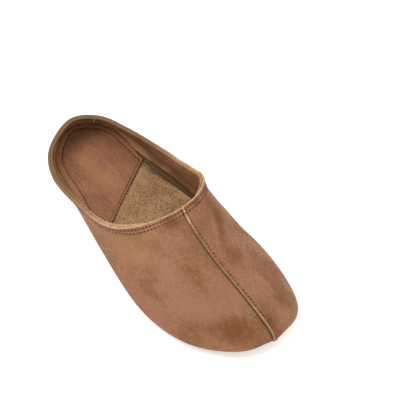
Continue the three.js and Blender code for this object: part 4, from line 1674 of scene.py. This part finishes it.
SOLE_RINGS = (
    Ring(-2.2, 0.0), Ring(-0.9, 0.2), Ring(-0.1, 0.75), Ring(0.4, 1.4), Ring(0.6, 2.0), Ring(0.6, 2.6),
    Ring(0.45, 3.3), Ring(0.1, 3.75), Ring(-0.6, 4.0),
)
FINISHES = (
    Hide("upper_hide", mid="84583A", light="9E744C", dark="6C4528", stain_and_shade="683A16", flesh="AC7C5A",
         blush="946850", inner_lines=INNER_LINES,
         furrows=(*(Furrow("rim", at) for at in RIM_ROWS), Furrow("seam", SEAM_ROW),
                  # Painted shadow: a dark line on the lateral panel just beside the lap's raw edge.
                  Furrow("seam", -0.5, 1.0, 0.9, "36200E"))),
    Suede("facing_suede", mid="986C4A", light="B08662", dark="5E4028", stain_and_shade="44290F", tuft_size=0.9,
          nap_depth=0.2, contrast=0.5, sheen=0.0, soil=0.45, lines=FACING_LINES),
    Suede("sole_suede", mid="80603C", light="95724C", dark="5E4428"),
    Suede("insole_suede", mid="A07955", light="C49E76", dark="5A3D22", tuft_size=1.5, nap_depth=0.4,
          edge_wear=0.0, contrast=0.95, sheen=0.05),
    Hide("pad_hide", mid="86563A", light="A2724C", dark="6A412A", stain_and_shade="522E1C", flesh="603A28",
         blush="8F5F45", rough=0.55, cloud_size=30.0, pale_border=0.4, furrows=(Furrow("border", PAD_ROW),)),
)
THREADS = (
    Thread("waxed_thread", "7E5438", "8C6042"), Thread("stitch_hole_shade", "401A10", "562618", 0.9),
    Thread("pale_thread", "A88A60", "846844"), Thread("sole_fibre", "A5825C", "80603E", 0.95),
)
PATCHES = {
    "stain_and_shade": (
        Spot(146, -5, 9, 4, 70, 1.0),
        Spot(231, -15, 17, 8, 50, 1.0),
        Spot(186, -17, 19, 6, 5, 0.55),
        Spot(173, -44, 17, 6, 0, 0.28),
        Spot(145, -52, 26, 7, 0, 0.3),
        Spot(237, 30, 12, 9, 0, 0.45),
        Spot(166, 25, 20, 2, -30, 0.4),
        Spot(182, 20, 16, 8, 0, 0.42),
        Spot(150, 30, 18, 9, 0, 0.7),
        Spot(182, 33, 46, 14, -6, 0.2),
        Spot(243, 8, 8, 5, 20, 0.8),
    ),
    "blush": (
        Spot(203, -27, 24, 9, 35, 0.9),
        Spot(168, -30, 22, 5, 12, 0.75),
        Spot(156, -14, 14, 6, 60, 0.5),
        Spot(208, -3, 17, 7, 10, 0.7),
        Spot(222, 15, 12, 6, 15, 0.6),
        Spot(120, -45, 24, 6, 0, 0.5),
        Spot(191, -53, 20, 6, 0, 0.4),
        Spot(200, 27, 10, 6, 0, 0.4),
    ),
    "faded": (
        Spot(147, -36, 8, 5, 20, 0.55),
        Spot(247, 29, 9, 6, 0, 0.5),
        Spot(128, -38, 12, 6, 0, 0.4),
        Spot(162, 21.5, 16, 2, -29, 0.5),
        Spot(158, 31, 12, 1.6, -24, 0.4),
        Spot(134, -10, 9, 3, 75, 0.4),
        Spot(140, -23, 12, 6, 70, 0.45),
    ),
}
PAD_PATCHES = {
    "stain_and_shade": (Spot(14, 10, 10, 22, -10, 0.3), Spot(30, 34, 22, 6, 12, 0.4),
              Spot(40, -26, 30, 5, -12, 0.4)),
    "faded": (Spot(58, -6, 16, 9, 20, 0.6), Spot(34, -8, 9, 6, 0, 0.4), Spot(66, 16, 8, 6, 0, 0.3)),
    "blush": (Spot(36, 12, 14, 9, 0, 0.5),),
}
# Painted shade: a dark band along the insole's medial edge, where it meets the foot of the wall.
INSOLE_SHADE_PATCHES = {"stain_and_shade": (Spot(88, 35.5, 34, 3.0, 15.6, 0.8),)}


class Slipper:
    """The whole slipper, dressed over its frame."""

    def __init__(self) -> None:
        """Works out the last and where the frame puts it."""
        self.last = Last()
        self.effects = Effects()
        self.shift = self._shift()

    def _shift(self) -> np.ndarray:
        """From the last's frame to the slipper's, read off the frame's outsole."""
        share = np.linspace(0, 1, 400)
        line, outward = self.last.feather(np.array([[-1.0], [1.0]]), share[None, :])
        widest = (line + outward * SOLE_OUT).reshape(-1, 3)
        low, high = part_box("outsole")
        middle = (widest.min(0) + widest.max(0)) / 2
        across = (np.array(low) + np.array(high)) / 2 / MM
        return np.array([across[0] - middle[0], across[1] - middle[1], 0.0])

    def build(self) -> None:
        """Builds and dresses every piece."""
        last, effects, shift = self.last, self.effects, self.shift
        hide, band, sole, bed, pad_hide = (finish.material(effects) for finish in FINISHES)
        thread, hole, pale_thread, fibre = (finish.material() for finish in THREADS)

        dress(Upper(last, hide, patches=PATCHES).build(shift), "leather", "upper")
        dress(CollarFacing(last, band).build(shift), "leather", "collar_facing")
        outsole = Plate("outsole_suede", last, sole, SOLE_RINGS, along=170, over=56, swell=resting_sole)
        dress(outsole.build(shift), "suede", "outsole")
        foot = last.outsole + last.gap
        top = foot + last.insole
        rings = (Ring(-0.7, foot), Ring(-0.7, top - 0.4), Ring(-1.0, top))
        insole = Plate("insole_suede", last, bed, rings, swell=pressed_insole, patches=INSOLE_SHADE_PATCHES)
        dress(insole.build(shift), "suede", "insole")
        foot = top + last.gap
        top = foot + last.heel_pad
        rings = (Ring(0.0, foot), Ring(0.0, top - 0.8, 1.8), Ring(-0.1, top - 0.3, 2.6), Ring(-0.5, top, 2.6))
        pad = Plate("heel_pad_leather", last, pad_hide, rings, front=(0.593, 0.714),
                    front_border=PAD_ROW - PAD_FRONT_ROW, patches=PAD_PATCHES, along=130, over=90,
                    swell=quilted_pad)
        dress(pad.build(shift), "pad", "heel_pad")

        stitching = Stitching(last, thread, hole, pale_thread, shift)
        rows = stitching.rim_row("rim_upper_row", RIM_ROWS[0], 11)
        rows += stitching.rim_row("rim_lower_row", RIM_ROWS[1], 31)
        rows += stitching.seam_row("front_seam_row", SEAM_ROW, 51)
        for piece in rows:
            dress(piece, "leather")
        for piece in stitching.pad_rows("pad_row", pad, 71):
            dress(piece, "pad")
        dress(stitching.sole_row("sole_row", 91), "suede")
        dress(stitching.heel_tack("heel_tack", 95), "leather")
        dress(Fringe().build(last, fibre, shift), "suede")


def main() -> None:
    """Builds the slipper and its studio."""
    logging.basicConfig(level=logging.INFO, format="%(name)s: %(message)s")
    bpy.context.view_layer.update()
    slipper = Slipper()
    slipper.build()
    Camera().build(slipper.shift)
    Studio().build()


if __name__ == "__main__":
    main()
